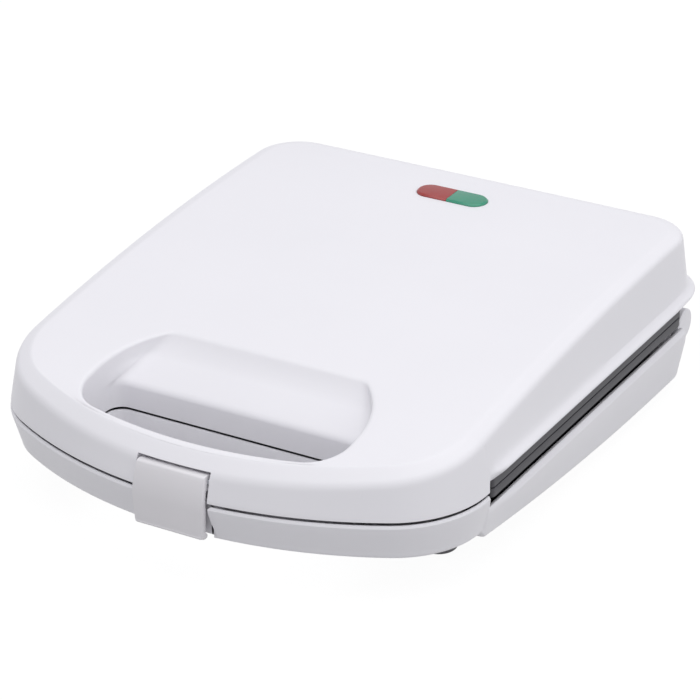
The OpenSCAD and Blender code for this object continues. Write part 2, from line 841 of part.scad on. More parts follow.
// Plate with its face down at the parting line and its pockets above it
module plate() {
    w = pocket_wall;
    difference() {
        union() {
            translate([0, 0, plate_face])
                linear_extrude(height = plate_t)
                    union() {
                        rounded_rect(
                            -plate_half_w, plate_half_w, plate_wide_front, plate_back - plate_back_r,
                            plate_corner_r
                        );
                        rounded_rect(
                            -plate_half_w, plate_half_w, plate_wide_front + plate_back_r, plate_back,
                            plate_back_r
                        );
                        rounded_rect(
                            -tongue_half_w, tongue_half_w, plate_front, plate_wide_front + plate_back_r,
                            plate_corner_r
                        );
                    }
            pair()
                frustum(
                    rect_points(pocket_x0 - w, pocket_x1 + w, pocket_y0 - w, pocket_y1 + w, pocket_r + w, 0),
                    rect_points(
                        pocket_x0 - w, pocket_x1 + w, pocket_y0 - w, pocket_y1 + w, pocket_r + w, pocket_draft
                    ),
                    plate_top - 1,
                    pocket_back
                );
            children();
        }
        pair() {
            pocket(pocket_x0, pocket_x1, pocket_y0, pocket_y1);
            for (s = plate_screws)
                translate([s[0], s[1], -THROUGH / 2])
                    cylinder(h = THROUGH, r = screw_r + 0.05);
        }
    }
}

module upper_plate() {
    placed()
    color("dimgray")
    difference() {
        plate();
        pair()
            for (s = plate_screws)
                translate([s[0], s[1], plate_face - 1])
                    cylinder(h = 1 + head_seat, r = screw_head_r + part_gap);
    }
}

module lower_plate() {
    placed()
    color("dimgray")
    mirror([0, 0, 1])
        plate()
            pair()
                for (s = plate_screws)
                    translate([s[0], s[1], plate_top - JOIN])
                        cylinder(h = 5, r = plate_boss_r);
}

// --- heating ---
// Bent tube: two runs across both pockets, joined at the right
module heater() {
    y0 = pocket_mid_y - heater_span / 2;
    y1 = pocket_mid_y + heater_span / 2;
    b = heater_bend_r;
    run = 2 * heater_half_w - b;
    translate([0, 0, heater_z]) {
        for (y = [y0, y1]) {
            translate([-heater_half_w, y, 0])
                rotate([0, 90, 0])
                    cylinder(h = run, r = heater_r);
            translate([-heater_half_w - terminal_len, y, 0])
                rotate([0, 90, 0])
                    cylinder(h = terminal_len + JOIN, r = terminal_r);
        }
        translate([heater_half_w, y0 + b, 0])
            rotate([-90, 0, 0])
                cylinder(h = heater_span - 2 * b, r = heater_r);
        translate([heater_half_w - b, y0 + b, 0])
            rotate([0, 0, -90])
                rotate_extrude(angle = 90) translate([b, 0]) circle(heater_r);
        translate([heater_half_w - b, y1 - b, 0])
            rotate_extrude(angle = 90) translate([b, 0]) circle(heater_r);
    }
}

// Sheet straps that hold the tube against the pockets
module heater_straps() {
    r = heater_r + touch;
    pair()
        for (y = [pocket_mid_y - heater_span / 2, pocket_mid_y + heater_span / 2])
            across(strap_x, strap_x + strap_w)
                translate([y, heater_z])
                    difference() {
                        union() {
                            circle(r + strap_t);
                            translate([-r - strap_t, -r]) square([2 * (r + strap_t), r]);
                            translate([-r - strap_foot, -r])
                                square([2 * (r + strap_foot), strap_t]);
                        }
                        circle(r);
                        translate([-r, -r - 1]) square([2 * r, r + 1]);
                        translate([-THROUGH / 2, -r - THROUGH]) square([THROUGH, THROUGH]);
                    }
}

// Folded tray of thin sheet behind the heater
module reflector() {
    h = reflector_z + sheet_t - plate_top - 0.6;
    difference() {
        translate([-reflector_half_w, reflector_y0, plate_top + 0.6])
            cube([2 * reflector_half_w, reflector_y1 - reflector_y0, h]);
        translate([-reflector_half_w + sheet_t, reflector_y0 + sheet_t, plate_top])
            cube([
                2 * (reflector_half_w - sheet_t),
                reflector_y1 - reflector_y0 - 2 * sheet_t,
                reflector_z - plate_top
            ]);
        // Way out for the leads, in the back fold
        translate([-lead_slot_x, reflector_y1 - lead_slot[1] / 2, plate_top])
            cube(lead_slot);
    }
}

module upper_heater() {
    placed() color("dimgray") heater();
}

module lower_heater() {
    placed() color("dimgray") mirror([0, 0, 1]) heater();
}

module upper_heater_straps() {
    placed() color("silver") heater_straps();
}

module lower_heater_straps() {
    placed() color("silver") mirror([0, 0, 1]) heater_straps();
}

module upper_reflector() {
    placed() color("silver") reflector();
}

module lower_reflector() {
    placed() color("silver") mirror([0, 0, 1]) reflector();
}

module thermostat() {
    placed()
    color("saddlebrown")
    translate([thermostat_x, pocket_mid_y, -pocket_back - touch - thermostat_h]) {
        cylinder(h = thermostat_h, r = thermostat_r);
        for (s = [-1, 1])
            translate([s * (thermostat_r + 1) - thermostat_tab[0] / 2, -thermostat_tab[2] / 2, 2])
                cube([thermostat_tab[0], thermostat_tab[2], thermostat_tab[1]]);
    }
}

module thermal_fuse() {
    placed()
    color("silver")
    translate([-thermostat_x, pocket_mid_y, -pocket_back - touch - fuse_r])
        rotate([0, 90, 0]) {
            translate([0, 0, -fuse_len / 2]) cylinder(h = fuse_len, r = fuse_r);
            translate([0, 0, -fuse_len / 2 - fuse_lead_len])
                cylinder(h = fuse_len + 2 * fuse_lead_len, r = fuse_lead_r);
        }
}

// --- lamps ---
// Outline of the two lenses together
module pill(grow) {
    r = lamps_d / 2 + grow;
    run = lamps_w - lamps_d;
    translate([-run / 2, -r]) square([run, 2 * r]);
    for (s = [-1, 1])
        translate([s * run / 2, 0]) circle(r);
}

// One lens: half of the pill, with a flange under the lid and a bevelled top
module lens(side) {
    bevel = 0.7;
    run = lamps_w - lamps_d;
    r = lamps_d / 2;
    translate([0, lamps_y, 0])
        intersection() {
            union() {
                translate([0, 0, lens_bottom - lens_flange_t])
                    linear_extrude(height = lens_flange_t) pill(lens_flange);
                translate([0, 0, lens_bottom - JOIN])
                    linear_extrude(height = lens_top - bevel - lens_bottom + 2 * JOIN) pill(0);
                hull()
                    for (s = [-1, 1])
                        translate([s * run / 2, 0, lens_top - bevel])
                            cylinder(h = bevel, r1 = r, r2 = r - bevel, $fn = MOULD_FN);
            }
            translate([side < 0 ? -THROUGH : lens_gap / 2, -THROUGH / 2, 0])
                cube([THROUGH - lens_gap / 2, THROUGH, THROUGH]);
        }
}

module red_lens() {
    placed() color("indianred") lens(-1);
}

module green_lens() {
    placed() color("mediumseagreen") lens(1);
}

module lamp_holder() {
    placed()
    color("whitesmoke")
    translate([0, lamps_y, holder_top - holder_h])
        difference() {
            union() {
                translate([-holder_half_w, -holder_d / 2, 0])
                    cube([2 * holder_half_w, holder_d, holder_h]);
                translate([
                    -holder_half_w - holder_ear, -holder_ear_w / 2, holder_h - holder_ear_drop
                ])
                    cube([2 * (holder_half_w + holder_ear), holder_ear_w, holder_ear_t]);
            }
            for (s = [-1, 1]) {
                translate([s * lamp_pitch / 2, 0, holder_floor])
                    cylinder(h = holder_h, r = lamp_r + part_gap);
                translate([s * lamp_pitch / 2, 0, -holder_floor])
                    cylinder(h = holder_h, r = wire_hole_r);
                translate([s * holder_screw_x, 0, -holder_h])
                    cylinder(h = 3 * holder_h, r = screw_r + part_gap);
            }
        }
}

module neon_lamps() {
    placed()
    color("orange")
    for (s = [-1, 1])
        translate([s * lamp_pitch / 2, lamps_y, holder_top - holder_h + holder_floor]) {
            cylinder(h = lamp_body_h, r = lamp_r);
            translate([0, 0, lamp_body_h])
                intersection() {
                    sphere(lamp_r);
                    translate([-lamp_r, -lamp_r, -JOIN]) cube(2 * lamp_r);
                }
        }
}

// --- mains inlet ---
module terminal_block() {
    placed()
    color("ivory")
    translate(block_pos)
        difference() {
            translate([-block_size[0] / 2, -block_size[1] / 2, 0]) cube(block_size);
            for (i = [0:block_ways - 1])
                translate([
                    (i - (block_ways - 1) / 2) * block_size[0] / block_ways, 0, block_size[2] / 2
                ]) {
                    rotate([-90, 0, 0])
                        translate([0, 0, -block_size[1]])
                            cylinder(h = 2 * block_size[1], r = block_bore_r);
                    cylinder(h = block_size[2], r = block_bore_r + 0.4);
                }
        }
}

module cord_gland() {
    placed()
    color("whitesmoke")
    translate([-inlet_x, gland_out, inlet_z])
        rotate([90, 0, 0])
            difference() {
                union() {
                    cylinder(h = gland_len, r = gland_body_r);
                    cylinder(h = gland_flange_t, r = gland_flange_r);
                    translate([0, 0, gland_len - 2 * gland_flange_t])
                        cylinder(h = 2 * gland_flange_t, r = gland_flange_r);
                }
                translate([0, 0, -1]) cylinder(h = gland_len + 2, r = cord_bore_r);
            }
}

// --- hinge ---
// Arm fixed in the lid: a knuckle, a neck and a plate for its screws
module hinge_arm() {
    difference() {
        union() {
            across(arm_x0, arm_x1) {
                translate([hinge_y, hinge_z]) circle(arm_r);
                polygon([
                    [hinge_y - arm_r, hinge_z],
                    [arm_back, hinge_z],
                    [arm_back, arm_plate_z + arm_plate_t],
                    [arm_front, arm_plate_z + arm_plate_t],
                    [arm_front, arm_plate_z],
                    [hinge_y - arm_r - 2, arm_plate_z],
                    [hinge_y - arm_r, arm_plate_z - 2]
                ]);
            }
        }
        translate([arm_x0 - 1, hinge_y, hinge_z])
            rotate([0, 90, 0])
                cylinder(h = arm_x1 - arm_x0 + 2, r = pin_r + running_fit);
        for (y = arm_screws_y)
            translate([hinge_screw_x, y, arm_plate_z - 1 - THROUGH / 2])
                cylinder(h = THROUGH, r = screw_r + 0.1);
        // Room for the head of the screw in the neck
        translate([hinge_screw_x, arm_screws_y[1], hinge_z + arm_r + 1.2])
            cylinder(h = arm_plate_z - hinge_z - arm_r - 1.2, r = screw_head_r + 0.3);
        translate([hinge_screw_x - screw_head_r - 0.3, hinge_y - THROUGH / 2, hinge_z + arm_r + 1.2])
            cube([
                2 * screw_head_r + 0.6,
                THROUGH / 2 - hinge_y + arm_screws_y[1],
                arm_plate_z - hinge_z - arm_r - 1.2
            ]);
    }
}

module hinge_arms() {
    placed() color("white") pair() hinge_arm();
}

// Bracket fixed in the base: a knuckle, a web and a foot on the floor
module hinge_bracket() {
    foot_z = -base_back_h + wall + 0.5;
    difference() {
        union() {
            across(bracket_x0, bracket_x1) translate([hinge_y, hinge_z]) circle(knuckle_r);
            across(bracket_x0, bracket_x0 + web_t)
                polygon([
                    [hinge_y - knuckle_r + 1.5, hinge_z + 4],
                    [hinge_y - 1, hinge_z - knuckle_r + 0.2],
                    [bracket_foot_y, foot_z + 3],
                    [bracket_foot_y, foot_z],
                    [bracket_foot_y - bracket_foot_len, foot_z],
                    [bracket_foot_y - bracket_foot_len, foot_z + bracket_foot_t],
                    [bracket_foot_y - 12, hinge_z - 10]
                ]);
            translate([bracket_x0 - 9, bracket_foot_y - bracket_foot_len, foot_z])
                cube([9 + web_t, bracket_foot_len, bracket_foot_t]);
            for (y = bracket_screws_y)
                translate([bracket_screw_x, y, foot_z])
                    cylinder(h = bracket_boss_h, r = bracket_boss_r);
        }
        translate([bracket_x0 - 1, hinge_y, hinge_z])
            rotate([0, 90, 0])
                cylinder(h = bracket_x1 - bracket_x0 + 2, r = pin_r + press_fit);
        for (y = bracket_screws_y)
            translate([bracket_screw_x, y, foot_z - 1])
                cylinder(h = bracket_boss_h, r = screw_r + 0.05);
    }
}

module hinge_brackets() {
    placed() color("white") pair() hinge_bracket();
}

module hinge_pins() {
    placed()
    color("silver")
    pair()
        translate([arm_x0 - 0.5, hinge_y, hinge_z])
            rotate([0, 90, 0])
                cylinder(h = bracket_x1 - arm_x0, r = pin_r);
}

// --- latch ---
module latch_profile() {
    cy = latch_arc_r - latch_bulge;
    drop = latch_bottom + hook_t - latch_mid_z;
    hook_y = cy - sqrt(pow(latch_arc_r, 2) - pow(drop, 2)) + hook_t;
    // The rounded top lies inside the face's circle and runs on from it
    roll_z = latch_top - latch_top_round;
    roll_reach = latch_arc_r - latch_top_round;
    roll_y = cy - sqrt(pow(roll_reach, 2) - pow(roll_z - latch_mid_z, 2));
    face_top = latch_mid_z + (roll_z - latch_mid_z) * latch_arc_r / roll_reach - roll_lap;
    difference() {
        union() {
            // Curved face
            intersection() {
                translate([cy, latch_mid_z])
                    difference() {
                        circle(latch_arc_r, $fn = 128);
                        circle(latch_arc_r - latch_t, $fn = 128);
                    }
                translate([-latch_bulge - 1, latch_bottom + hook_t])
                    square([8, face_top - latch_bottom - hook_t]);
            }
            // Rounded top and the web back to the pivot
            translate([roll_y, roll_z]) circle(latch_top_round);
            translate([roll_y, latch_top - 2 * latch_top_round])
                square([latch_pivot_y - roll_y, 2 * latch_top_round]);
            translate([latch_pivot_y, latch_pivot_z]) circle(latch_knuckle_r);
            translate([latch_top_y + 0.6, latch_pivot_z - latch_knuckle_r])
                square([latch_pivot_y - latch_top_y - 0.6, latch_knuckle_r]);
            // Hook that turns in under the base
            translate([hook_y, latch_bottom + hook_t]) circle(hook_t);
            translate([hook_t + 0.4, latch_bottom])
                square([hook_end - hook_t - 0.4, hook_t]);
        }
        translate([latch_pivot_y, latch_pivot_z]) circle(latch_pin_r + running_fit);
    }
}

module latch() {
    corner_z = latch_bottom + latch_round - hook_gap;
    placed()
    color("gainsboro")
    intersection() {
        across(-latch_half_w, latch_half_w) latch_profile();
        // Sides that draw in towards the top, with rounded lower corners
        translate([0, THROUGH / 2, 0])
            rotate([90, 0, 0])
                linear_extrude(height = THROUGH)
                    polygon(concat(
                        corner(latch_half_w - latch_round, corner_z, latch_round, -90, 0),
                        [
                            [latch_half_w, latch_mid_z],
                            [latch_half_w - latch_taper, latch_top + 1],
                            [-latch_half_w + latch_taper, latch_top + 1],
                            [-latch_half_w, latch_mid_z]
                        ],
                        corner(-latch_half_w + latch_round, corner_z, latch_round, 180, 270)
                    ));
    }
}

module latch_pin() {
    reach = notch_half_w + cheek_t - 1.2;
    placed()
    color("silver")
    translate([-reach, latch_pivot_y, latch_pivot_z])
        rotate([0, 90, 0])
            cylinder(h = 2 * reach, r = latch_pin_r);
}

// --- screws ---
module upper_plate_screws() {
    placed()
    color("silver")
    pair()
        for (s = plate_screws)
            translate([s[0], s[1], plate_face + head_seat]) screw(screw_len);
}

module lower_plate_screws() {
    placed()
    color("silver")
    pair()
        for (s = plate_screws)
            translate([s[0], s[1], -plate_top - lower_screw_drop]) screw(lower_screw_len);
}

module hinge_arm_screws() {
    placed()
    color("silver")
    pair()
        for (y = arm_screws_y)
            translate([hinge_screw_x, y, arm_plate_z]) screw(screw_len);
}

module hinge_bracket_screws() {
    placed()
    color("silver")
    pair()
        for (y = bracket_screws_y)
            translate([bracket_screw_x, y, -base_back_h]) screw(bracket_screw_len);
}

module lamp_holder_screws() {
    placed()
    color("silver")
    pair()
        translate([holder_screw_x, lamps_y, holder_top - holder_ear_drop]) screw(holder_screw_len);
}

// --- feet ---
module foot(y, seat) {
    pair()
        translate([foot_x, y, -parting_h]) {
            cylinder(h = seat + parting_h, r = foot_r);
            cylinder(h = seat + parting_h + foot_peg_h, r = foot_peg_r);
        }
}

module front_feet() {
    placed() color("dimgray") foot(front_foot_y, foot_boss_bottom - 0.1);
}

module rear_feet() {
    placed() color("dimgray") foot(rear_foot_y, -base_back_h - 0.1);
}

lid_cover();
base_cover();
upper_plate();
lower_plate();
upper_heater();
lower_heater();
upper_heater_straps();
lower_heater_straps();
upper_reflector();
lower_reflector();
thermostat();
thermal_fuse();
red_lens();
green_lens();
lamp_holder();
neon_lamps();
terminal_block();
cord_gland();
hinge_arms();
hinge_brackets();
hinge_pins();
latch();
latch_pin();
upper_plate_screws();
lower_plate_screws();
hinge_arm_screws();
hinge_bracket_screws();
lamp_holder_screws();
front_feet();
rear_feet();
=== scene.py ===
"""Dresses the packed sandwich toaster: casing, plates, latch, lamps, hinge, heating and feet.

All sizes are in millimetres in the casing's own frame (x across, y back from the front of the
parting line, z up from the parting line) and go to the shared frame in metres in one place.
"""

import logging
import math
from collections.abc import Callable, Sequence
from dataclasses import dataclass, field
from enum import Enum

import bmesh
import bpy
import numpy as np
from mathutils import Matrix, Vector


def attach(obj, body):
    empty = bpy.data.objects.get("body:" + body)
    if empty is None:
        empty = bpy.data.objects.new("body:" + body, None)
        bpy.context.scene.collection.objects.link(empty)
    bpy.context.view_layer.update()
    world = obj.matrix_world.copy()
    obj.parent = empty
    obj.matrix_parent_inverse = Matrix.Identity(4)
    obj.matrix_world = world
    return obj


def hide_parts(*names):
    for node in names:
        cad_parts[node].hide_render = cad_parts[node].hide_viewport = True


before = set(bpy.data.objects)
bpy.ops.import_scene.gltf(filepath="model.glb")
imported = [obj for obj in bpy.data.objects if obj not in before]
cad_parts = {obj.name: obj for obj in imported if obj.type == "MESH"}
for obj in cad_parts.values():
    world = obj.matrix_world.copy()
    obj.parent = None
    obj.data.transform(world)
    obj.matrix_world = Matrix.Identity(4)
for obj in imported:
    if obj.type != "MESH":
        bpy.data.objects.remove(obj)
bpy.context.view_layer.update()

LOG = logging.getLogger("toaster")
MM = 0.001
# A CAD node's points closer than this are one, and its faces flatter than this are one face
MERGE_MM = 0.002
FLAT_ANGLE = 0.6
# An edge of a CAD node that turns by more than this is rounded
EDGE_ANGLE = 38.0
# A round piece stays smooth up to this angle
ROUND_ANGLE = 40.0
# Cutters and slots reach this far past the casing, in mm
FAR = 60.0
SIDES = (-1, 1)
# Height of the heaters above and below the parting line
HEATER_Z = 14.85


class Body(Enum):
    """The bodies that the pieces ride on."""

    BASE = "base"
    LID = "lid"
    LATCH = "latch"


class Slot(Enum):
    """The part's material slots."""

    WHITE_PLASTIC = "white_plastic"
    GREY_WHITE_PLASTIC = "grey_white_plastic"
    NONSTICK_COATING = "nonstick_coating"
    HEATER_STEEL = "heater_steel"
    SHEET_METAL = "sheet_metal"
    DARK_PHENOLIC = "dark_phenolic"
    PLATED_STEEL = "plated_steel"
    RED_LENS = "red_lens"
    GREEN_LENS = "green_lens"
    PALE_NYLON = "pale_nylon"
    LAMP_GLASS = "lamp_glass"
    RUBBER = "rubber"


class Axis(Enum):
    """The axes, by their place in a point."""

    X = 0
    Y = 1
    Z = 2


# --- colours and nodes ---------------------------------------------------------------------


def linear(hex_colour: str, alpha: float = 1.0) -> tuple[float, float, float, float]:
    """Turns an sRGB hex colour into the linear values that the shaders take.

    Args:
        hex_colour: six hex digits with a leading #.
        alpha: opacity to append.

    Returns:
        Red, green, blue and alpha.
    """
    parts = [int(hex_colour[i : i + 2], 16) / 255 for i in (1, 3, 5)]
    r, g, b = (p / 12.92 if p <= 0.04045 else ((p + 0.055) / 1.055) ** 2.4 for p in parts)
    return r, g, b, alpha


def add_node(
    tree: bpy.types.NodeTree,
    kind: str,
    settings: dict[str, object] | None = None,
    values: dict[str | int, object] | None = None,
    links: dict[str | int, bpy.types.NodeSocket] | None = None,
) -> bpy.types.Node:
    """Adds one node with its settings, socket values and incoming links.

    Args:
        tree: the node tree to add to.
        kind: the node's type name.
        settings: attributes of the node.
        values: constant values, by input name or number.
        links: output sockets to connect, by input name or number.

    Returns:
        The new node.
    """
    node = tree.nodes.new(kind)
    for name, value in (settings or {}).items():
        setattr(node, name, value)
    for key, value in (values or {}).items():
        node.inputs[key].default_value = value
    for key, socket in (links or {}).items():
        tree.links.new(socket, node.inputs[key])
    return node


@dataclass(frozen=True)
class Finish:
    """A surface finish. The patterns' sizes are in millimetres.

    colour and shade are the two ends of a slow drift of tone, grain is the size of the fine
    texture, bump is its height and blotch the size of the slow drift. The grain of a moulded or
    plated surface is far finer than half a millimetre, so it is drawn as coarse as it needs to
    be to show.
    """

    name: str
    colour: str
    shade: str
    roughness: float = 0.4
    rough_drift: float = 0.06
    metallic: float = 0.0
    ior: float = 1.5
    grain: float = 1.0
    bump: float = 0.01
    blotch: float = 40.0
    coat: float = 0.0
    transmission: float = 0.0
    subsurface: float = 0.0
    streak: tuple[float, float, float] = (1.0, 1.0, 1.0)
    bump_strength: float = 0.35
    coat_roughness: float = 0.12
    subsurface_depth: float = 2.0

    def material(self) -> bpy.types.Material:
        """Builds the procedural material, or returns the one already built.

        Returns:
            The material, with its patterns in object coordinates.
        """
        found = bpy.data.materials.get(self.name)
        if found is not None:
            return found
        made = bpy.data.materials.new(self.name)
        made.use_nodes = True
        tree = made.node_tree
        tree.nodes.clear()
        place = add_node(tree, "ShaderNodeTexCoord")
        along = add_node(
            tree,
            "ShaderNodeMapping",
            values={"Scale": tuple(s / MM for s in self.streak)},
            links={"Vector": place.outputs["Object"]},
        )
        slow, fine = (
            add_node(
                tree,
                "ShaderNodeTexNoise",
                values={"Scale": 1 / size, "Detail": detail, "Roughness": edge},
                links={"Vector": along.outputs["Vector"]},
            ).outputs["Fac"]
            for size, detail, edge in ((self.blotch, 3.0, 0.55), (self.grain, 4.0, 0.6))
        )
        tone = add_node(
            tree,
            "ShaderNodeMix",
            settings={"data_type": "RGBA"},
            values={6: linear(self.shade), 7: linear(self.colour)},
            links={0: slow},
        )
        rough = add_node(
            tree,
            "ShaderNodeMapRange",
            values={
                "To Min": self.roughness - self.rough_drift,
                "To Max": self.roughness + self.rough_drift,
            },
            links={"Value": fine},
        )
        relief = add_node(
            tree,
            "ShaderNodeBump",
            values={"Strength": self.bump_strength, "Distance": self.bump * MM},
            links={"Height": fine},
        )
        shader = add_node(
            tree,
            "ShaderNodeBsdfPrincipled",
            values={
                "Metallic": self.metallic,
                "IOR": self.ior,
                "Coat Weight": self.coat,
                "Coat Roughness": self.coat_roughness,
                "Transmission Weight": self.transmission,
                "Subsurface Weight": self.subsurface,
                "Subsurface Scale": self.subsurface_depth * MM,
            },
            links={
                "Base Color": tone.outputs[2],
                "Roughness": rough.outputs["Result"],
                "Normal": relief.outputs["Normal"],
            },
        )
        add_node(
            tree, "ShaderNodeOutputMaterial", links={"Surface": shader.outputs["BSDF"]}
        )
        return made


# Moulded ABS, satin from the tool: a soft broad highlight, an even pale tone, a trace of texture
WHITE_ABS = Finish(
    "abs_moulded_white", "#f6f5f9", "#f2f1f5", roughness=0.42, grain=0.7, bump=0.006, blotch=60,
    ior=1.53,
)
# The same moulding painted a touch greyer: painted shade, as the latch faces the front and
# stands in shade
SHADED_LATCH_ABS = Finish(
    "abs_moulded_latch_painted_shade", "#efedf0", "#eae8eb", roughness=0.4, grain=0.7, bump=0.006, blotch=30,
    ior=1.53,
)
# Sprayed non-stick coat on die-cast aluminium: mid grey, matt, a fine orange peel
NONSTICK = Finish(
    "ptfe_sprayed_aluminium", "#57565a", "#4b4b4f", roughness=0.5, grain=0.9, bump=0.03,
    blotch=14, ior=1.38,
)
# Heater tube, drawn steel that has oxidised: dark, streaky along the tube
HEATER_STEEL = Finish(
    "steel_drawn_oxidised", "#4a4744", "#2f2d2c", roughness=0.55, metallic=1.0, grain=1.2,
    bump=0.02, blotch=9,
)
# Rolled aluminium sheet: bright, lightly streaked along the rolling direction
SHEET = Finish(
    "aluminium_rolled", "#c9cacd", "#b6b8bc", roughness=0.34, metallic=1.0, grain=0.8,
    bump=0.01, blotch=18, streak=(0.15, 1.0, 1.0),
)
# Aluminised sheet that heat has dulled, and painted darker grey still as painted shade, so that
# it stays dark in the gaps behind the plates
DULLED_SHADED_REFLECTOR_SHEET = Finish(
    "steel_aluminised_dulled_painted_shade", "#68696c", "#57585b", roughness=0.55, metallic=1.0, grain=0.8,
    bump=0.01, blotch=18, streak=(0.15, 1.0, 1.0),
)
# Zinc-plated steel: cool bright grey with a faint spangle
ZINC = Finish(
    "steel_zinc_plated", "#c4c6ca", "#a9adb3", roughness=0.3, metallic=1.0, grain=0.6,
    bump=0.008, blotch=3,
)
# Moulded phenolic: nearly black brown, dull
PHENOLIC = Finish(
    "phenolic_moulded", "#2a1c15", "#1c130f", roughness=0.55, grain=0.6, bump=0.02, blotch=5,
    ior=1.6,
)
# Moulded nylon: warm off-white, slightly waxy
NYLON = Finish(
    "nylon_moulded", "#e4e1d6", "#dbd7ca", roughness=0.45, grain=0.8, bump=0.01, blotch=8,
    ior=1.53, subsurface=0.1,
)
# Dark soft rubber: matt with a dusty drift of tone
RUBBER = Finish(
    "rubber_moulded_dark", "#78777a", "#676669", roughness=0.75, grain=0.5, bump=0.03,
    blotch=6, ior=1.52,
)
# Moulded translucent acrylic lenses: glossy, deeper colour at their edges
RED_LENS = Finish(
    "acrylic_moulded_red", "#a9403d", "#a03431", roughness=0.2, rough_drift=0.03, grain=0.8,
    bump=0.004, blotch=12, ior=1.49, coat=0.4, subsurface=0.15,
)
GREEN_LENS = Finish(
    "acrylic_moulded_green", "#3c9a7c", "#2f8f70", roughness=0.2, rough_drift=0.03, grain=0.8,
    bump=0.004, blotch=12, ior=1.49, coat=0.4, subsurface=0.15,
)
# Blown glass bulb: clear with a faint warm tint
BULB_GLASS = Finish(
    "glass_blown_bulb", "#f3d9c0", "#efcfae", roughness=0.05, rough_drift=0.02, grain=2.0,
    bump=0.002, blotch=6, ior=1.52, transmission=0.85,
)


# --- sizes ---------------------------------------------------------------------------------


@dataclass(frozen=True)
class Sizes:
    """The casing's sizes, most of them with the names and values of the part's source.

    belly_front_h and the four from notch_start to ledge_swell were fitted to the photograph
    once more for the finished look. A place is its distance across and from front to back.
    """

    body_w: float = 220.0
    body_d: float = 266.5
    parting_h: float = 38.0
    front_r: float = 182.0
    front_corner_r: float = 44.0
    back_corner_r: float = 20.0
    wall: float = 2.4
    level_in: float = 29.5
    lid_front_h: float = 12.0
    lid_back_h: float = 35.5
    shoulder_in: float = 2.7
    band_w: float = 6.5
    lid_crown: float = 1.5
    front_crown: float = 1.7
    lid_dome: float = 1.0
    lip_out: float = 2.0
    lip_h: float = 9.5
    lip_bottom: float = 4.5
    base_front_h: float = 17.0
    front_fall: float = 2.0
    belly_front_h: float = 22.1
    base_back_h: float = 33.0
    base_draft: float = 3.4
    base_round: float = 2.2
    base_back_in: float = 2.0
    opening_w: float = 123.0
    opening_y: float = 13.7
    opening_len: float = 40.0
    ramp_len: float = 22.8
    opening_corner_r: float = 18.0
    opening_front_r: float = 215.0
    latch_w: float = 33.0
    notch_gap: float = 0.6
    latch_bulge: float = 1.7
    lamps_w: float = 34.4
    lamps_d: float = 12.4
    lamps_in: float = 32.5
    lens_gap: float = 0.2
    lid_edge: float = 0.6
    base_edge: float = 0.8
    step_start: float = 61.5
    step_end: float = 66.0
    notch_start: float = 62.2
    notch_len: float = 2.0
    lip_swell: float = 11.0
    ledge_swell: float = 30.0
    edge_round: float = 1.6
    ramp_foot: float = 0.4
    side_r: tuple[float, float] = (60.0, 45.0)
    rear_r: tuple[float, float] = (6.5, 8.0)
    side_y: tuple[float, float] = (40.0, 42.0)
    hinge_in: float = 11.5
    hinge_z: float = -9.5
    hinge_set: float = 4.0
    bracket_w: float = 6.7
    arm_gap: float = 0.8
    arm_w: float = 10.5
    arm_clear: float = 3.0
    latch_under: float = 0.8
    hook_t: float = 2.0
    hook_gap: float = 0.3
    bar_front: float = 5.3
    plate_screws: tuple[tuple[float, float], ...] = ((62.0, 71.0), (58.0, 239.5))
    arm_screw_x: float = 93.25
    arm_screws_y: tuple[float, float] = (239.0, 252.0)
    bracket_screw_in: float = 3.0
    bracket_screws_y: tuple[float, float] = (227.0, 238.0)
    holder_screw_x: float = 24.2

    @property
    def half_w(self) -> float:
        """Half the width across the parting line."""
        return self.body_w / 2

    @property
    def base_d(self) -> float:
        """Depth of the base's own outline."""
        return self.body_d - self.base_back_in

    @property
    def mid_y(self) -> float:
        """Middle of the whole object from front to back."""
        return (self.body_d + self.lip_out - self.latch_bulge) / 2

    @property
    def level_y(self) -> float:
        """Distance from the front at which the top and the bottom become level."""
        return self.body_d - self.level_in

    @property
    def lamps_y(self) -> float:
        """Middle of the lamps' window from front to back."""
        return self.body_d - self.lamps_in

    @property
    def notch_half_w(self) -> float:
        """Half the width of the notch round the latch."""
        return self.latch_w / 2 + self.notch_gap

    @property
    def hinge_y(self) -> float:
        """Distance of the hinge's axis from the front."""
        return self.body_d - self.hinge_in

    @property
    def bracket_x0(self) -> float:
        """Inner side of a hinge bracket."""
        return self.half_w - self.hinge_set - self.bracket_w

    @property
    def bracket_screw_x(self) -> float:
        """Distance of a bracket's screws from the middle."""
        return self.bracket_x0 - self.bracket_screw_in

    @property
    def arm_x0(self) -> float:
        """Inner side of a hinge arm."""
        return self.bracket_x0 - self.arm_gap - self.arm_w

    def to_frame(self, points: np.ndarray) -> np.ndarray:
        """Moves points from the casing's frame in mm to the shared frame in metres."""
        return (points + np.array([0.0, -self.mid_y, self.parting_h])) * MM


S = Sizes()
# One value, or one for each point of a ring
Number = float | np.ndarray


def mix(a: Number, b: Number, t: Number) -> Number:
    """Blends from a to b."""
    return a + (b - a) * t


def smooth(v: Number) -> Number:
    """Eases from 0 to 1, level at both ends."""
    t = np.clip(v, 0, 1)
    return t * t * (3 - 2 * t)


def arc(
    cx: float, cy: float, r: float, a0: float, a1: float, n: int, first: int = 0
) -> np.ndarray:
    """Points along an arc with their outward normals.

    Args:
        cx: centre across.
        cy: centre front to back.
        r: radius.
        a0: first angle in radians.
        a1: last angle in radians.
        n: number of steps.
        first: number of the first point kept.

    Returns:
        Rows of x, y, normal x and normal y.
    """
    a = np.linspace(a0, a1, n + 1)[first:]
    return np.column_stack([cx + r * np.cos(a), cy + r * np.sin(a), np.cos(a), np.sin(a)])


def stretch(x: Number, y: Number, across: int, back: int) -> np.ndarray:
    """Points along a straight stretch with their outward normal."""
    return np.column_stack(np.broadcast_arrays(x, y, across, back))


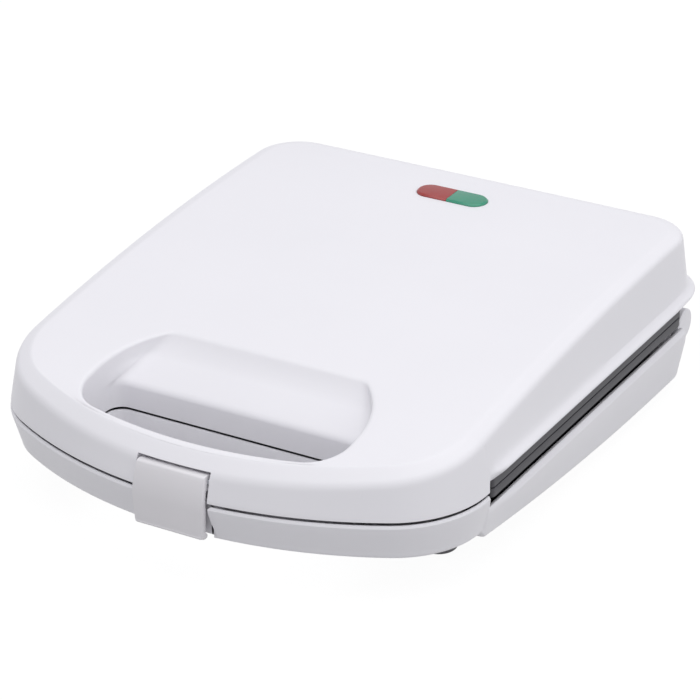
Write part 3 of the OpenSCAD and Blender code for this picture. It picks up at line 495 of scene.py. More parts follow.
@dataclass(frozen=True)
class Outlines:
    """The casing's outlines and heights, sampled finely.

    Each outline is its right half, from the middle of the front to the middle of the back, and
    the numbers of points are for its stretches. notch_span is where the points beside the
    window's front end stand close, in shares of the notch's length, and step_clear how far
    behind the step they end. blend is the width over which the back wall changes beside a hinge
    arm, and crown_end_in is how far before the back the crown ends.
    """

    n_front: int = 26
    n_corner: int = 22
    n_step: int = 22
    n_side: int = 26
    n_back_corner: int = 14
    n_back: int = 16
    n_blend: int = 7
    notch_span: tuple[float, float] = (-0.15, 1.25)
    step_clear: float = 2.0
    blend: float = 4.0
    crown_end_in: float = 66.5

    def body(self, rc: float, rb: float, depth: float = S.body_d) -> np.ndarray:
        """Right half of the casing's outline.

        Args:
            rc: front corner radius.
            rb: back corner radius.
            depth: depth of the outline.

        Returns:
            Rows of x, y, normal x and normal y.
        """
        cx = S.half_w - rc
        cy = S.front_r - math.sqrt((S.front_r - rc) ** 2 - cx * cx)
        bow = math.atan2(cx, S.front_r - cy)
        back = depth - rb
        right = math.pi / 2
        fine = S.notch_start + S.notch_len * np.linspace(*self.notch_span, self.n_step // 2)
        ahead = np.linspace(cy, fine[0], self.n_step - len(fine))[1:-1]
        behind = S.step_end + self.step_clear
        side_y = np.linspace(behind, back, self.n_side + 1)[1:-1]
        arm = S.arm_x0 - S.arm_clear
        beside = np.linspace(arm, arm - self.blend, self.n_blend)
        middle = np.linspace(arm - self.blend, 0, self.n_back - self.n_blend + 2)[1:]
        return np.vstack(
            [
                arc(0, S.front_r, S.front_r, -right, -right + bow, self.n_front),
                arc(cx, cy, rc, -right + bow, 0, self.n_corner, 1),
                stretch(S.half_w, np.concatenate([ahead, fine, [S.step_end, behind]]), 1, 0),
                stretch(S.half_w, side_y, 1, 0),
                arc(S.half_w - rb, back, rb, 0, right, self.n_back_corner),
                stretch(np.concatenate([beside, middle]), depth, 0, 1),
            ]
        )

    def opening(self, u: float) -> np.ndarray:
        """Right half of the finger opening.

        Args:
            u: 0 at the parting line, 1 at the lid's top.

        Returns:
            Rows of x, y, normal x and normal y.
        """
        half = S.opening_w / 2
        fy = S.opening_y + S.opening_front_r
        cx = half - S.opening_corner_r
        cy = fy - math.sqrt((S.opening_front_r - S.opening_corner_r) ** 2 - cx * cx)
        bow = math.atan2(cx, fy - cy)
        sr, rr, sy = (mix(pair[0], pair[1], u) for pair in (S.side_r, S.rear_r, S.side_y))
        foot = S.opening_y + S.opening_len
        ry = mix(foot, foot + S.ramp_len, u) - rr
        dx = math.sqrt((sr - rr) ** 2 - (ry - sy) ** 2)
        turn = math.atan2(ry - sy, dx)
        rx = half - sr + dx
        right = math.pi / 2
        n_side = self.n_step + self.n_side - 1
        return np.vstack(
            [
                arc(0, fy, S.opening_front_r, -right, -right + bow, self.n_front),
                arc(cx, cy, S.opening_corner_r, -right + bow, 0, self.n_corner, 1),
                arc(half - sr, sy, sr, 0, turn * (n_side - 1) / n_side, n_side - 1),
                arc(rx, ry, rr, turn, right, self.n_back_corner),
                stretch(np.linspace(rx, 0, self.n_back + 2)[1:], ry + rr, 0, 1),
            ]
        )

    @staticmethod
    def whole(half: np.ndarray) -> np.ndarray:
        """Closes a ring of points from its right half."""
        return np.vstack([half, half[-2:0:-1] * np.array([-1.0, 1.0, 1.0])])

    def ring(self, half: np.ndarray, inset: Number, z: Number) -> np.ndarray:
        """Closed ring beside an outline.

        Args:
            half: right half of the outline with its normals.
            inset: distance inward from it, below 0 for outward.
            z: height of the ring, or of each point.

        Returns:
            Rows of x, y and z.
        """
        x, y, across, back = half.T
        points = [x - across * inset, y - back * inset, np.full(len(x), z)]
        return self.whole(np.column_stack(points))

    def lid(self) -> np.ndarray:
        """Right half of the lid's outline."""
        return self.body(S.front_corner_r, S.back_corner_r)

    def base(self) -> np.ndarray:
        """Right half of the base's outline."""
        return self.body(S.front_corner_r, S.back_corner_r, S.base_d)

    @staticmethod
    def ridge(y: np.ndarray) -> np.ndarray:
        """Height of the lid's shoulder."""
        return mix(S.lid_back_h, S.lid_front_h, np.maximum(1 - y / S.level_y, 0) ** 2)

    def top(self, x: Number, y: Number) -> Number:
        """Height of the lid's top.

        Args:
            x: places across.
            y: places from front to back.

        Returns:
            The height at each place.
        """
        crown = S.front_crown * np.maximum(1 - y / (S.body_d - self.crown_end_in), 0)
        dome = S.lid_dome * np.maximum(1 - (x / S.half_w) ** 2, 0)
        return self.ridge(y) + S.lid_crown + crown + dome

    @staticmethod
    def beside(y: Number) -> Number:
        """0 beside the front, 1 beside the window and the back."""
        return smooth((y - S.step_start) / (S.step_end - S.step_start))

    @staticmethod
    def notch(y: np.ndarray) -> np.ndarray:
        """0 before the window's front end, 1 behind it."""
        return smooth((y - S.notch_start) / S.notch_len)

    @staticmethod
    def swell(y: np.ndarray, length: float) -> np.ndarray:
        """0 at the window's front end, 1 where the edge beside it stands out fully."""
        return smooth((y - S.notch_start) / length)

    def between(self, x: np.ndarray, y: np.ndarray) -> np.ndarray:
        """0 beside the window, 1 at the back wall between the hinges."""
        inside = smooth((S.arm_x0 - S.arm_clear - np.abs(x)) / self.blend)
        return np.where(y > S.base_d - S.back_corner_r, inside, 0)

    def bottom(self, y: Number) -> Number:
        """Height of the base's bottom: shallow in front, then a step down to the belly.

        Args:
            y: places from front to back.

        Returns:
            The height at each place.
        """
        rise = np.maximum(1 - (y - S.step_start) / (S.level_y - S.step_start), 0) ** 2
        belly = -mix(S.base_back_h, S.belly_front_h, rise)
        front = -S.base_front_h - S.front_fall * np.clip(y / S.step_start, 0, 1)
        return mix(front, belly, self.beside(y))


O = Outlines()


# --- meshes --------------------------------------------------------------------------------


def link(name: str, mesh: bpy.types.Mesh) -> bpy.types.Object:
    """Puts a mesh into the scene as an object at the origin.

    Args:
        name: the object's name.
        mesh: its mesh.

    Returns:
        The object.
    """
    made = bpy.data.objects.new(name, mesh)
    bpy.context.scene.collection.objects.link(made)
    return made


def mesh_from(
    name: str, points: np.ndarray, faces: Sequence[Sequence[int]]
) -> bpy.types.Object:
    """Builds a closed mesh from points in the casing's frame, faces outward.

    Args:
        name: the object's name.
        points: rows of x, y and z in mm.
        faces: corner numbers of each face.

    Returns:
        The object, with its place in its mesh.
    """
    mesh = bpy.data.meshes.new(name)
    mesh.from_pydata(S.to_frame(points).tolist(), [], [list(f) for f in faces])
    mesh.validate()
    shape = bmesh.new()
    shape.from_mesh(mesh)
    if shape.calc_volume(signed=True) < 0:
        bmesh.ops.reverse_faces(shape, faces=shape.faces)
    shape.to_mesh(mesh)
    shape.free()
    return link(name, mesh)


def ring_shell(name: str, rings: Sequence[np.ndarray]) -> bpy.types.Object:
    """Closed skin through rings that follow one another round a section.

    Args:
        name: the object's name.
        rings: the rings in order, each with the same number of points.

    Returns:
        The object.
    """
    n, m = len(rings[0]), len(rings)
    faces = [
        (i * n + j, i * n + (j + 1) % n, ((i + 1) % m) * n + (j + 1) % n, ((i + 1) % m) * n + j)
        for i in range(m)
        for j in range(n)
    ]
    return mesh_from(name, np.vstack(rings), faces)


def prism(name: str, low: np.ndarray, high: np.ndarray) -> bpy.types.Object:
    """Closed solid between two rings with the same number of points.

    Args:
        name: the object's name.
        low: the first ring.
        high: the second ring.

    Returns:
        The object.
    """
    n = len(low)
    faces: list[Sequence[int]] = [tuple(range(n)), tuple(reversed(range(n, 2 * n)))]
    faces += [(i, (i + 1) % n, n + (i + 1) % n, n + i) for i in range(n)]
    return mesh_from(name, np.vstack([low, high]), faces)


def block(name: str, low: Sequence[float], high: Sequence[float]) -> bpy.types.Object:
    """Box from corner to corner, used as a cutter or a hidden block.

    Args:
        name: the object's name.
        low: corner with the smallest x, y and z.
        high: the opposite corner.

    Returns:
        The object.
    """
    (x0, y0, z0), (x1, y1, z1) = low, high
    square = np.array([[x0, y0], [x1, y0], [x1, y1], [x0, y1]])
    return prism(name, *(np.column_stack([square, np.full(4, z)]) for z in (z0, z1)))


def rod(
    name: str, centre: Sequence[float], axis: Axis, length: float, r: float, sides: int
) -> bpy.types.Object:
    """Cylinder along an axis.

    Args:
        name: the object's name.
        centre: middle of its first end.
        axis: the axis that it follows.
        length: length along the axis.
        r: radius.
        sides: number of sides.

    Returns:
        The object.
    """
    a = np.linspace(0, 2 * math.pi, sides, endpoint=False)
    ring = np.zeros((sides, 3))
    ring[:, (axis.value + 1) % 3] = r * np.cos(a)
    ring[:, (axis.value + 2) % 3] = r * np.sin(a)
    ring += np.array(centre, float)
    end = ring.copy()
    end[:, axis.value] += length
    return prism(name, ring, end)


def boss(
    at: tuple[float, float], heights: tuple[float, float], radii: tuple[float, float]
) -> bpy.types.Object:
    """Tapered round boss.

    Args:
        at: its place across and from front to back.
        heights: heights of its two ends.
        radii: radii of its two ends.

    Returns:
        The object.
    """
    ends = [arc(*at, r, 0, 2 * math.pi, 48)[:-1, :2] for r in radii]
    low, high = (np.column_stack([end, np.full(48, z)]) for end, z in zip(ends, heights))
    return prism("boss", low, high)


def remove(thing: bpy.types.Object) -> None:
    """Deletes an object and its mesh.

    Args:
        thing: the object.
    """
    mesh = thing.data
    bpy.data.objects.remove(thing)
    bpy.data.meshes.remove(mesh)


def baked(thing: bpy.types.Object) -> bpy.types.Object:
    """Replaces an object by the plain mesh that its modifiers make.

    Args:
        thing: the object with its modifiers.

    Returns:
        A new object of the same name, without modifiers.
    """
    bpy.context.view_layer.update()
    evaluated = thing.evaluated_get(bpy.context.evaluated_depsgraph_get())
    mesh = bpy.data.meshes.new_from_object(evaluated)
    name = thing.name
    remove(thing)
    mesh.name = name
    return link(name, mesh)


def carve(
    thing: bpy.types.Object,
    added: Sequence[bpy.types.Object] = (),
    cut: Sequence[bpy.types.Object] = (),
) -> bpy.types.Object:
    """Joins blocks to an object and cuts others from it, for good.

    Args:
        thing: the object to change.
        added: closed shapes that join it.
        cut: closed shapes that are taken away.

    Returns:
        The finished object.
    """
    for operation, tools in (("UNION", added), ("DIFFERENCE", cut)):
        for tool in tools:
            step = thing.modifiers.new(operation.lower(), "BOOLEAN")
            step.operation = operation
            step.solver = "EXACT"
            step.object = tool
    done = baked(thing)
    for tool in (*added, *cut):
        remove(tool)
    return done


def shade(thing: bpy.types.Object, angle: float = 28.0) -> bpy.types.Object:
    """Shades smooth but for the sharp edges.

    Args:
        thing: the object.
        angle: angle in degrees over which an edge stays sharp.

    Returns:
        The same object.
    """
    thing.data.shade_smooth()
    thing.data.set_sharp_from_angle(angle=math.radians(angle))
    return thing


def joined(first: bpy.types.Object, second: bpy.types.Object) -> bpy.types.Object:
    """Adds the second object's mesh to the first one's.

    Args:
        first: the object that is kept.
        second: the object that is taken up.

    Returns:
        The first object.
    """
    shape = bmesh.new()
    shape.from_mesh(first.data)
    shape.from_mesh(second.data)
    shape.to_mesh(first.data)
    shape.free()
    remove(second)
    return first


def finished(node: str) -> str:
    """Name of the piece that stands for a CAD node."""
    return f"{node}_finished"


def softened(node: str, width: float, steps: int = 3) -> bpy.types.Object:
    """Copies a CAD node and rounds its edges.

    Args:
        node: the node's name.
        width: width of the rounding in mm.
        steps: number of faces across the rounding.

    Returns:
        The piece, which doesn't replace its node yet.
    """
    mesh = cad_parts[node].data.copy()
    mesh.name = finished(node)
    mesh.materials.clear()
    shape = bmesh.new()
    shape.from_mesh(mesh)
    bmesh.ops.remove_doubles(shape, verts=shape.verts, dist=MERGE_MM * MM)
    bmesh.ops.dissolve_limit(
        shape, angle_limit=math.radians(FLAT_ANGLE), verts=shape.verts, edges=shape.edges
    )
    shape.to_mesh(mesh)
    shape.free()
    piece = link(mesh.name, mesh)
    rounding = piece.modifiers.new("rounding", "BEVEL")
    rounding.width = width * MM
    rounding.segments = steps
    rounding.limit_method = "ANGLE"
    rounding.angle_limit = math.radians(EDGE_ANGLE)
    rounding.use_clamp_overlap = True
    return shade(baked(piece))


def dress(
    piece: bpy.types.Object, finish: Finish, body: Body, node: str
) -> bpy.types.Object:
    """Gives a piece its finish and its place in the part, and reports it.

    Args:
        piece: the piece.
        finish: its finish.
        body: the body that it rides on.
        node: the CAD node that it stands for.

    Returns:
        The same piece.
    """
    piece.data.materials.clear()
    piece.data.materials.append(finish.material())
    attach(piece, body.value)
    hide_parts(node)
    LOG.info("%s: %d faces on %s", piece.name, len(piece.data.polygons), body.value)
    return piece


# --- casing --------------------------------------------------------------------------------


def rolled(
    before: np.ndarray,
    corner: np.ndarray,
    after: np.ndarray,
    reach: tuple[float, float],
    steps: int = 6,
) -> list[np.ndarray]:
    """Rounds the edge along a ring.

    Args:
        before: ring before the edge.
        corner: ring along the sharp edge.
        after: ring after the edge.
        reach: how far the rounding reaches before and after the edge, in mm.
        steps: number of faces across the rounding.

    Returns:
        Rings from the rounding's start to its end.
    """

    def toward(other: np.ndarray, length: float) -> np.ndarray:
        """Points on the way from the edge to another ring.

        Args:
            other: the other ring.
            length: distance from the edge, where the other ring is far enough.

        Returns:
            The ring of these points.
        """
        way = other - corner
        span = np.maximum(np.linalg.norm(way, axis=1, keepdims=True), 1e-6)
        return corner + way * np.minimum(length / span, 0.98)

    start, end = toward(before, reach[0]), toward(after, reach[1])
    shares = [i / steps for i in range(steps + 1)]
    return [
        start * (1 - t) ** 2 + corner * (2 * t * (1 - t)) + end * t * t for t in shares
    ]


@dataclass(frozen=True)
class ScrewBoss:
    """Bosses for a screw on both sides: their place, foot, depth under the top and radii."""

    at: tuple[float, float]
    z: float
    sink: float
    radii: tuple[float, float]

    def build(self) -> list[bpy.types.Object]:
        """Builds both bosses."""
        (x, y), top = self.at, float(O.top(*self.at)) - self.sink
        return [boss((s * x, y), (self.z, top), self.radii) for s in SIDES]


@dataclass
class LidCover:
    """The upper casing: a domed top with a sloping band, a flared wall and a recessed ramp.

    A place in the recess is two shares, along the ramp and from its foot up to the rim. A reach
    is how far a rounding goes before and behind its edge. front_rows hold insets and heights
    above the wall's edge, and the other rows hold shares where no comment says more.
    """

    shoulder_corner_r: float = S.front_corner_r + 2
    shoulder_back_r: float = S.back_corner_r + 4
    foot_rows: tuple[float, ...] = (0.0, 0.06)
    knee_start: float = 0.12
    knee: tuple[float, float] = (0.02, S.ramp_foot + 0.01)
    knee_reach: tuple[float, float] = (1.8, 3.0)
    ramp_rows: tuple[float, ...] = (0.5, 0.7, 0.9)
    ramp_head: tuple[float, float] = (0.82, 0.8)
    rim_reach: tuple[float, float] = (2.2, 2.2)
    rim_clear: float = 2.7
    top_steps: int = 14
    band_share: float = 0.15
    band_reach: tuple[float, float] = (1.5, 1.5)
    edge_in: float = 0.3
    edge_drop: float = 0.1
    shoulder_reach: tuple[float, float] = (2.3, 2.3)
    wall_foot: tuple[float, float] = (0.2, S.lid_edge + 1.2)
    waist: tuple[float, float] = (1.4, 12.5)
    waist_share: float = 0.42
    waist_rows: tuple[float, ...] = (0.35, 0.7, 1.0)
    # Height at the front, height over the lip's brow and share of the lip's reach
    lip_rows: tuple[tuple[float, float, float], ...] = (
        (6.3, 3.2, 0.06), (5.4, 2.3, 0.24), (4.5, 1.5, 0.5), (3.6, 0.9, 0.76),
        (2.7, 0.35, 0.94), (S.lid_edge + 1.2, -0.2, 1.0),
    )
    lip_start: tuple[float, float] = (0.7, 1.2)
    lip_edge: float = 3.0
    lip_rise: float = 1.6
    lip_brow: float = 7.5
    # How far the lip's rounding goes inward and down at its brow, and up at its lower edge
    lip_round: tuple[float, float, float] = (0.3, 0.9, 0.2)
    lip_insets: tuple[float, ...] = (1.2, 1.5, 2.5, 2.9)
    rear_start: float = 232.0
    front_rows: tuple[tuple[float, float], ...] = (
        (0.12, 0.5), (0.05, 0.1), (0.3, 0.0), (S.wall, 0.0), (S.wall, 1.2),
    )
    inner_drop: float = S.wall + 0.6
    inner_top: tuple[float, ...] = (0, 0.35, 0.7)
    # Place in the recess and depth under it
    inner_recess: tuple[tuple[float, float, float], ...] = (
        (1, 1, S.wall), (0.05, S.ramp_foot, 0.6), (0, S.ramp_foot - 0.1, 0.4), (0, 0, 0),
    )
    notch_top: float = 12.8
    notch_back: float = 8.3
    cheek_t: float = 4.0
    pivot: tuple[float, float] = (4.8, 8.2)
    pin_hole_r: float = 1.5
    pocket_wall: float = 1.5
    window_reach: tuple[float, float] = (-8.0, 20.0)
    screw_bosses: tuple[ScrewBoss, ...] = (
        *(ScrewBoss(at, 4.4, 1.2, (4.0, 4.6)) for at in S.plate_screws),
        *(ScrewBoss((S.arm_screw_x, y), 11.2, 2.4, (4.0, 4.4)) for y in S.arm_screws_y),
        ScrewBoss((S.holder_screw_x, S.lamps_y), 25.5, 1.2, (2.8, 3.0)),
    )

    def shoulder_outline(self) -> np.ndarray:
        """Right half of the outline that the shoulder and the top follow."""
        return O.body(self.shoulder_corner_r, self.shoulder_back_r)

    def shoulder(self, inset: float, drop: float) -> np.ndarray:
        """Ring along the shoulder.

        Args:
            inset: distance inside the outline.
            drop: depth under the shoulder.

        Returns:
            The closed ring.
        """
        outline = self.shoulder_outline()
        return O.ring(outline, inset, O.ridge(outline[:, 1]) - drop)

    def wall_ring(
        self, front: tuple[Number, Number], window: tuple[Number, Number]
    ) -> np.ndarray:
        """Ring round the wall.

        Args:
            front: inset and height beside the front.
            window: inset and height beside the window and round the back.

        Returns:
            The closed ring.
        """
        t = O.notch(O.lid()[:, 1])
        return O.ring(O.lid(), *(mix(a, b, t) for a, b in zip(front, window)))

    def top_ring(self, t: float, drop: float, grow: float) -> np.ndarray:
        """Ring of the top.

        Args:
            t: 0 at the band and 1 at the opening.
            drop: depth under the top.
            grow: distance between the opening and the last ring.

        Returns:
            The closed ring.
        """
        a, b = self.shoulder_outline(), O.opening(1)
        inset = S.shoulder_in + S.band_w
        x = mix(a[:, 0] - a[:, 2] * inset, b[:, 0] + b[:, 2] * grow, t)
        y = mix(a[:, 1] - a[:, 3] * inset, b[:, 1] + b[:, 3] * grow, t)
        return O.whole(np.column_stack([x, y, O.top(x, y) - drop]))

    def recess(self, u: float, v: float, grow: float = 0.0, drop: float = 0.0) -> np.ndarray:
        """Ring of the recess.

        Args:
            u: share of the way along the ramp.
            v: share of the way up to the rim.
            grow: distance outside the recess.
            drop: depth under the ring's height.

        Returns:
            The closed ring.
        """
        rim = O.opening(1)
        z = mix(S.lid_edge, O.top(rim[:, 0], rim[:, 1]), v) - drop
        return O.ring(O.opening(u), -grow, z)

    def rings(self) -> list[np.ndarray]:
        """All rings of the shell, from the recess over the top, down the wall and inside."""
        outside = self.recess_rings() + self.top_rings()
        return outside + self.wall_rings(outside[-1]) + self.inner_rings()

    def recess_rings(self) -> list[np.ndarray]:
        """Rings from the recess's foot, round its knee and up over its rim.

        Returns:
            The rings in order.
        """
        knee, head, rim = (self.recess(*at) for at in (self.knee, self.ramp_head, (1, 1)))
        start = self.recess(0, self.knee_start)
        near = self.top_ring(1 - 1 / self.top_steps, 0, self.rim_clear)
        rings = [self.recess(0, v) for v in self.foot_rows]
        rings += rolled(start, knee, head, self.knee_reach, steps=8)
        rings += [mix(knee, head, t) for t in self.ramp_rows]
        return rings + rolled(head, rim, near, self.rim_reach, steps=8)

    def top_rings(self) -> list[np.ndarray]:
        """Rings over the top, down the band and round the shoulder.

        Returns:
            The rings in order.
        """
        shares = [1 - i / self.top_steps for i in range(1, self.top_steps)]
        near, band = (self.top_ring(t, 0, self.rim_clear) for t in (self.band_share, 0))
        edge = self.shoulder(S.shoulder_in + self.edge_in, self.edge_drop)
        rings = [self.top_ring(t, 0, self.rim_clear) for t in shares]
        rings += rolled(near, band, edge, self.band_reach, steps=4)
        below = self.wall_ring(self.wall_foot, self.waist)
        return rings + rolled(band, edge, below, self.shoulder_reach, steps=10)

    def wall_rings(self, last: np.ndarray) -> list[np.ndarray]:
        """Rings down the wall, over the lip beside the window and round its lower edge.

        Args:
            last: the ring before them.

        Returns:
            The rings in order.
        """
        y = O.lid()[:, 1]
        swell = O.swell(y, S.lip_swell)
        rear = smooth((y - self.rear_start) / (S.body_d - self.rear_start))
        low = mix(mix(self.lip_edge + self.lip_rise, self.lip_edge, swell), S.lip_bottom, rear)
        brow = mix(self.lip_brow, S.lip_h, rear)
        lip = mix(self.lip_start[0], -S.lip_out, swell)
        rings = [mix(last, self.waist_ring(), t) for t in self.waist_rows]
        for z, up, share in self.lip_rows:
            out = mix(self.lip_start[1], -S.lip_out, share)
            rings.append(self.side_ring(z, brow + up, out, swell))
        back, drop, rise = self.lip_round
        insets = (lip + back, *self.lip_insets)
        heights = (brow - drop, low + rise, low, low, brow)
        for (inset, up), window in zip(self.front_rows, zip(insets, heights)):
            rings.append(self.wall_ring((inset, S.lid_edge + up), window))
        return rings

    def inner_rings(self) -> list[np.ndarray]:
        """Rings inside the shell, from the wall back to the recess.

        Returns:
            The rings in order.
        """
        rings = [self.shoulder(S.shoulder_in + S.wall, self.inner_drop)]
        rings += [self.top_ring(t, S.wall, S.wall) for t in self.inner_top]
        return rings + [self.recess(u, v, S.wall, drop) for u, v, drop in self.inner_recess]

    def wall_ends(self) -> tuple[np.ndarray, np.ndarray]:
        """Rings at the top and at the foot of the straight wall."""
        high = self.shoulder(S.shoulder_in + self.edge_in, self.edge_drop)
        return high, self.wall_ring(self.wall_foot, self.wall_foot)

    def waist_ring(self) -> np.ndarray:
        """Ring half way down the wall, above the lip that stands out beside the window.

        Returns:
            The closed ring.
        """
        high, low = self.wall_ends()
        share = (high[:, 2] - self.waist[1]) / (high[:, 2] - low[:, 2])
        return mix(high, low, np.clip(share, self.waist_share, 1)[:, None])

    def side_ring(
        self, front_z: float, window_z: np.ndarray, inset: float, swell: np.ndarray
    ) -> np.ndarray:
        """Ring on the straight wall that stands out beside the window.

        Args:
            front_z: height beside the front.
            window_z: height of each point of the right half beside the window.
            inset: inset where it stands out fully.
            swell: how far each point of the right half stands out, from 0 to 1.

        Returns:
            The closed ring.
        """
        high, low = self.wall_ends()
        out = self.wall_ring((inset, front_z), (inset, window_z))
        share = (high[:, 2] - out[:, 2]) / (high[:, 2] - low[:, 2])
        both = np.concatenate([swell, swell[-2:0:-1]])
        return mix(mix(high, low, share[:, None]), out, both[:, None])

    def build(self) -> bpy.types.Object:
        """Builds the cover with its notch, latch pocket, bosses and lamp window.

        Returns:
            The dressed cover.
        """
        shell = ring_shell("lid_cover_shell", self.rings())
        half, reach = S.notch_half_w, S.notch_half_w + self.cheek_t - 1
        notch = block("notch_cut", (-half, -FAR, -FAR), (half, self.notch_back, self.notch_top))
        pin = rod("pin_cut", (-reach, *self.pivot), Axis.X, 2 * reach, self.pin_hole_r, 32)
        bosses = [made for screw in self.screw_bosses for made in screw.build()]
        piece = carve(shell, [self.pocket(), *bosses], [notch, pin, self.window()])
        return dress(shade(piece), WHITE_ABS, Body.LID, "lid_cover")

    def pocket(self) -> bpy.types.Object:
        """Block behind the latch, in which its pin sits.

        Returns:
            The block, its front top cut back so that it stays behind the wall.
        """
        g, foot, top = self.pocket_wall, S.lid_edge + 0.3, self.notch_top
        front, back = S.bar_front, self.notch_back + g
        profile = [
            (front - 1.8 * g, foot),
            (back, foot),
            (back, top + 1.4 * g),
            (front + 0.6 * g, top + 0.1),
            (front - 0.3 * g, top - 1.4),
        ]
        half = S.notch_half_w + self.cheek_t
        ends = [np.array([(s * half, y, z) for y, z in profile]) for s in SIDES]
        return prism("latch_pocket", *ends)

    def window(self) -> bpy.types.Object:
        """Cutter of the lamps' window.

        Returns:
            The cutter, a slot with round ends.
        """
        run, r = (S.lamps_w - S.lamps_d) / 2, S.lamps_d / 2 + S.lens_gap
        right = math.pi / 2
        pill = np.vstack(
            [arc(s * run, S.lamps_y, r, -s * right, (2 - s) * right, 24)[:, :2] for s in (1, -1)]
        )
        z = float(O.top(0.0, S.lamps_y))
        ends = [np.column_stack([pill, np.full(len(pill), z + up)]) for up in self.window_reach]
        return prism("window_cut", *ends)


@dataclass
class BaseCover:
    """The lower casing: a shallow front round the opening and a deeper belly behind it.

    A lap is how far one shape goes into another that it joins or cuts.
    """

    bar_bottom: float = -S.base_front_h - S.latch_under + S.hook_t + S.hook_gap
    bar_wide: float = 4.0
    bar_drop: float = 0.4
    bar_lap: float = 1.0
    shelf_d: float = 7.2
    hook_room: float = 0.4
    knuckle_r: float = 7.0
    knuckle_gap: float = 0.5
    slot_gap: float = 1.0
    slot_depth: float = 9.5
    slot_lap: float = 0.4
    inlet: tuple[float, float] = (60.0, -22.0)
    inlet_lap: float = 20.0
    gland_r: float = 6.2
    foot_x: float = S.half_w - 30
    foot_y: float = 75.0
    foot_seat: float = -S.parting_h + 3.6
    foot_radii: tuple[float, float] = (9.5, 11.0)
    screw_seat: float = -12.4
    screw_boss_h: float = 3.0
    screw_boss: tuple[float, float] = (5.6, 5.0)
    screw_head_r: float = 3.25
    bracket_boss: tuple[float, float] = (4.6, 4.2)
    bracket_boss_z: tuple[float, float] = (-1.0, 0.4)
    bracket_hole_r: float = 1.75
    bracket_hole_h: float = 40.0
    near_edge: float = 0.03
    ledge_top: float = -7.6
    back_edge: float = 3.5
    # Distance outside the opening and depth under the edge
    hole_rows: tuple[tuple[float, float], ...] = (
        (0, 0.8), (0.18, 0.3), (0.6, 0), (1.2, 0.2), (S.wall, 1.6),
    )
    floor_in: float = S.base_draft + S.wall + 1
    inner_parts: tuple[float, ...] = (2, 1.66, 1.33, 1, 0.75, 0.5, 0.25, 0)
    # Inset and depth at the front, inset at the swell's start and end and depth under the
    # ledge's top beside the window, inset and depth at the back
    edge_rows: tuple[
        tuple[tuple[float, float], tuple[float, float, float], tuple[float, float]], ...
    ] = (
        ((S.wall, 2.2), (2.9, 2.9, 0.4), (2.9, 0.0)),
        ((1.1, 0.2), (2.1, 2.1, 0.0), (1.6, 0.0)),
        ((0.6, 0.0), (1.4, 1.4, 0.0), (1.0, 0.0)),
        ((0.1, 0.25), (1.3, 0.3, 0.9), (0.3, 0.3)),
        ((-0.3, 1.2), (1.25, -0.35, 2.0), (0.0, 1.2)),
        ((-0.25, 1.8), (1.35, -0.5, 2.8), (0.0, 1.2)),
    )
    wall_rows: tuple[float, ...] = (0.08, 0.3, 0.6, 0.85, 1.0)
    round_angles: tuple[float, float, int] = (0.25, 1.57, 6)
    belly_steps: int = 6
    step_parts: tuple[float, ...] = (1.25, 1.5, 1.75, 2, 2.5)
    # Distance outside the notch and height of the flare's section
    flare_rows: tuple[tuple[float, float], ...] = (
        (-1.0, 1.0), (1.9, -0.75), (1.1, -0.95), (0.5, -1.5), (0.25, -2.4), (0.5, -7.0),
        (2.6, -21.0), (-1.0, -21.0),
    )

    def wall_ring(
        self,
        front: tuple[Number, Number],
        window: tuple[Number, Number],
        back: tuple[Number, Number],
    ) -> np.ndarray:
        """Ring round the wall.

        Args:
            front: inset and height at the front.
            window: inset and height beside the window.
            back: inset and height at the back, between the hinges.

        Returns:
            The closed ring.
        """
        outline = O.base()
        t, share = O.notch(outline[:, 1]), O.between(outline[:, 0], outline[:, 1])
        inset, z = (mix(a, mix(b, c, share), t) for a, b, c in zip(front, window, back))
        return O.ring(outline, inset, z)

    def low_ring(self, inset: float, up: float, shift: float = 0.0) -> np.ndarray:
        """Ring round the foot of the wall.

        Args:
            inset: distance inside the outline.
            up: height over the bottom.
            shift: distance by which the step lies farther back.

        Returns:
            The closed ring.
        """
        outline = O.base()
        y = outline[:, 1] - outline[:, 3] * inset
        return O.ring(outline, inset, O.bottom(y - shift) + up)

    def share(self, a: np.ndarray, b: np.ndarray, part: float, shift: float) -> np.ndarray:
        """Share of the way from the bottom's edge to the opening for a ring.

        Args:
            a: places of the edge's points from front to back.
            b: places of the opening's points from front to back.
            part: which ring, as bottom_ring takes it.
            shift: distance by which the step lies farther back.

        Returns:
            The share of each point.
        """
        span = np.where(np.abs(a - b) < 1e-6, 1, a - b)
        deep, shallow = (
            np.maximum(np.where(a > y + shift, (a - y - shift) / span, 0), least)
            for y, least in (
                (S.step_end, self.near_edge), (S.step_start, 2 * self.near_edge),
            )
        )
        if part <= 1:
            return part * deep
        if part <= 2:
            return mix(deep, shallow, part - 1)
        return mix(shallow, np.ones_like(a), part - 2)

    def bottom_ring(
        self, part: float, inset: float, up: float, grow: float, shift: float = 0.0
    ) -> np.ndarray:
        """Ring of the bottom.

        Args:
            part: 0 to 1 over the belly, 1 to 2 over the step and 3 at the opening.
            inset: distance of the bottom's edge inside the outline.
            up: height over the bottom.
            grow: distance between the opening and the last ring.
            shift: distance by which the step lies farther back.

        Returns:
            The closed ring.
        """
        a, b = O.base(), O.opening(0)
        ax, ay = a[:, 0] - a[:, 2] * inset, a[:, 1] - a[:, 3] * inset
        bx, by = b[:, 0] + b[:, 2] * grow, b[:, 1] + b[:, 3] * grow
        t = self.share(ay, by, part, shift)
        y = mix(ay, by, t)
        return O.whole(np.column_stack([mix(ax, bx, t), y, O.bottom(y - shift) + up]))

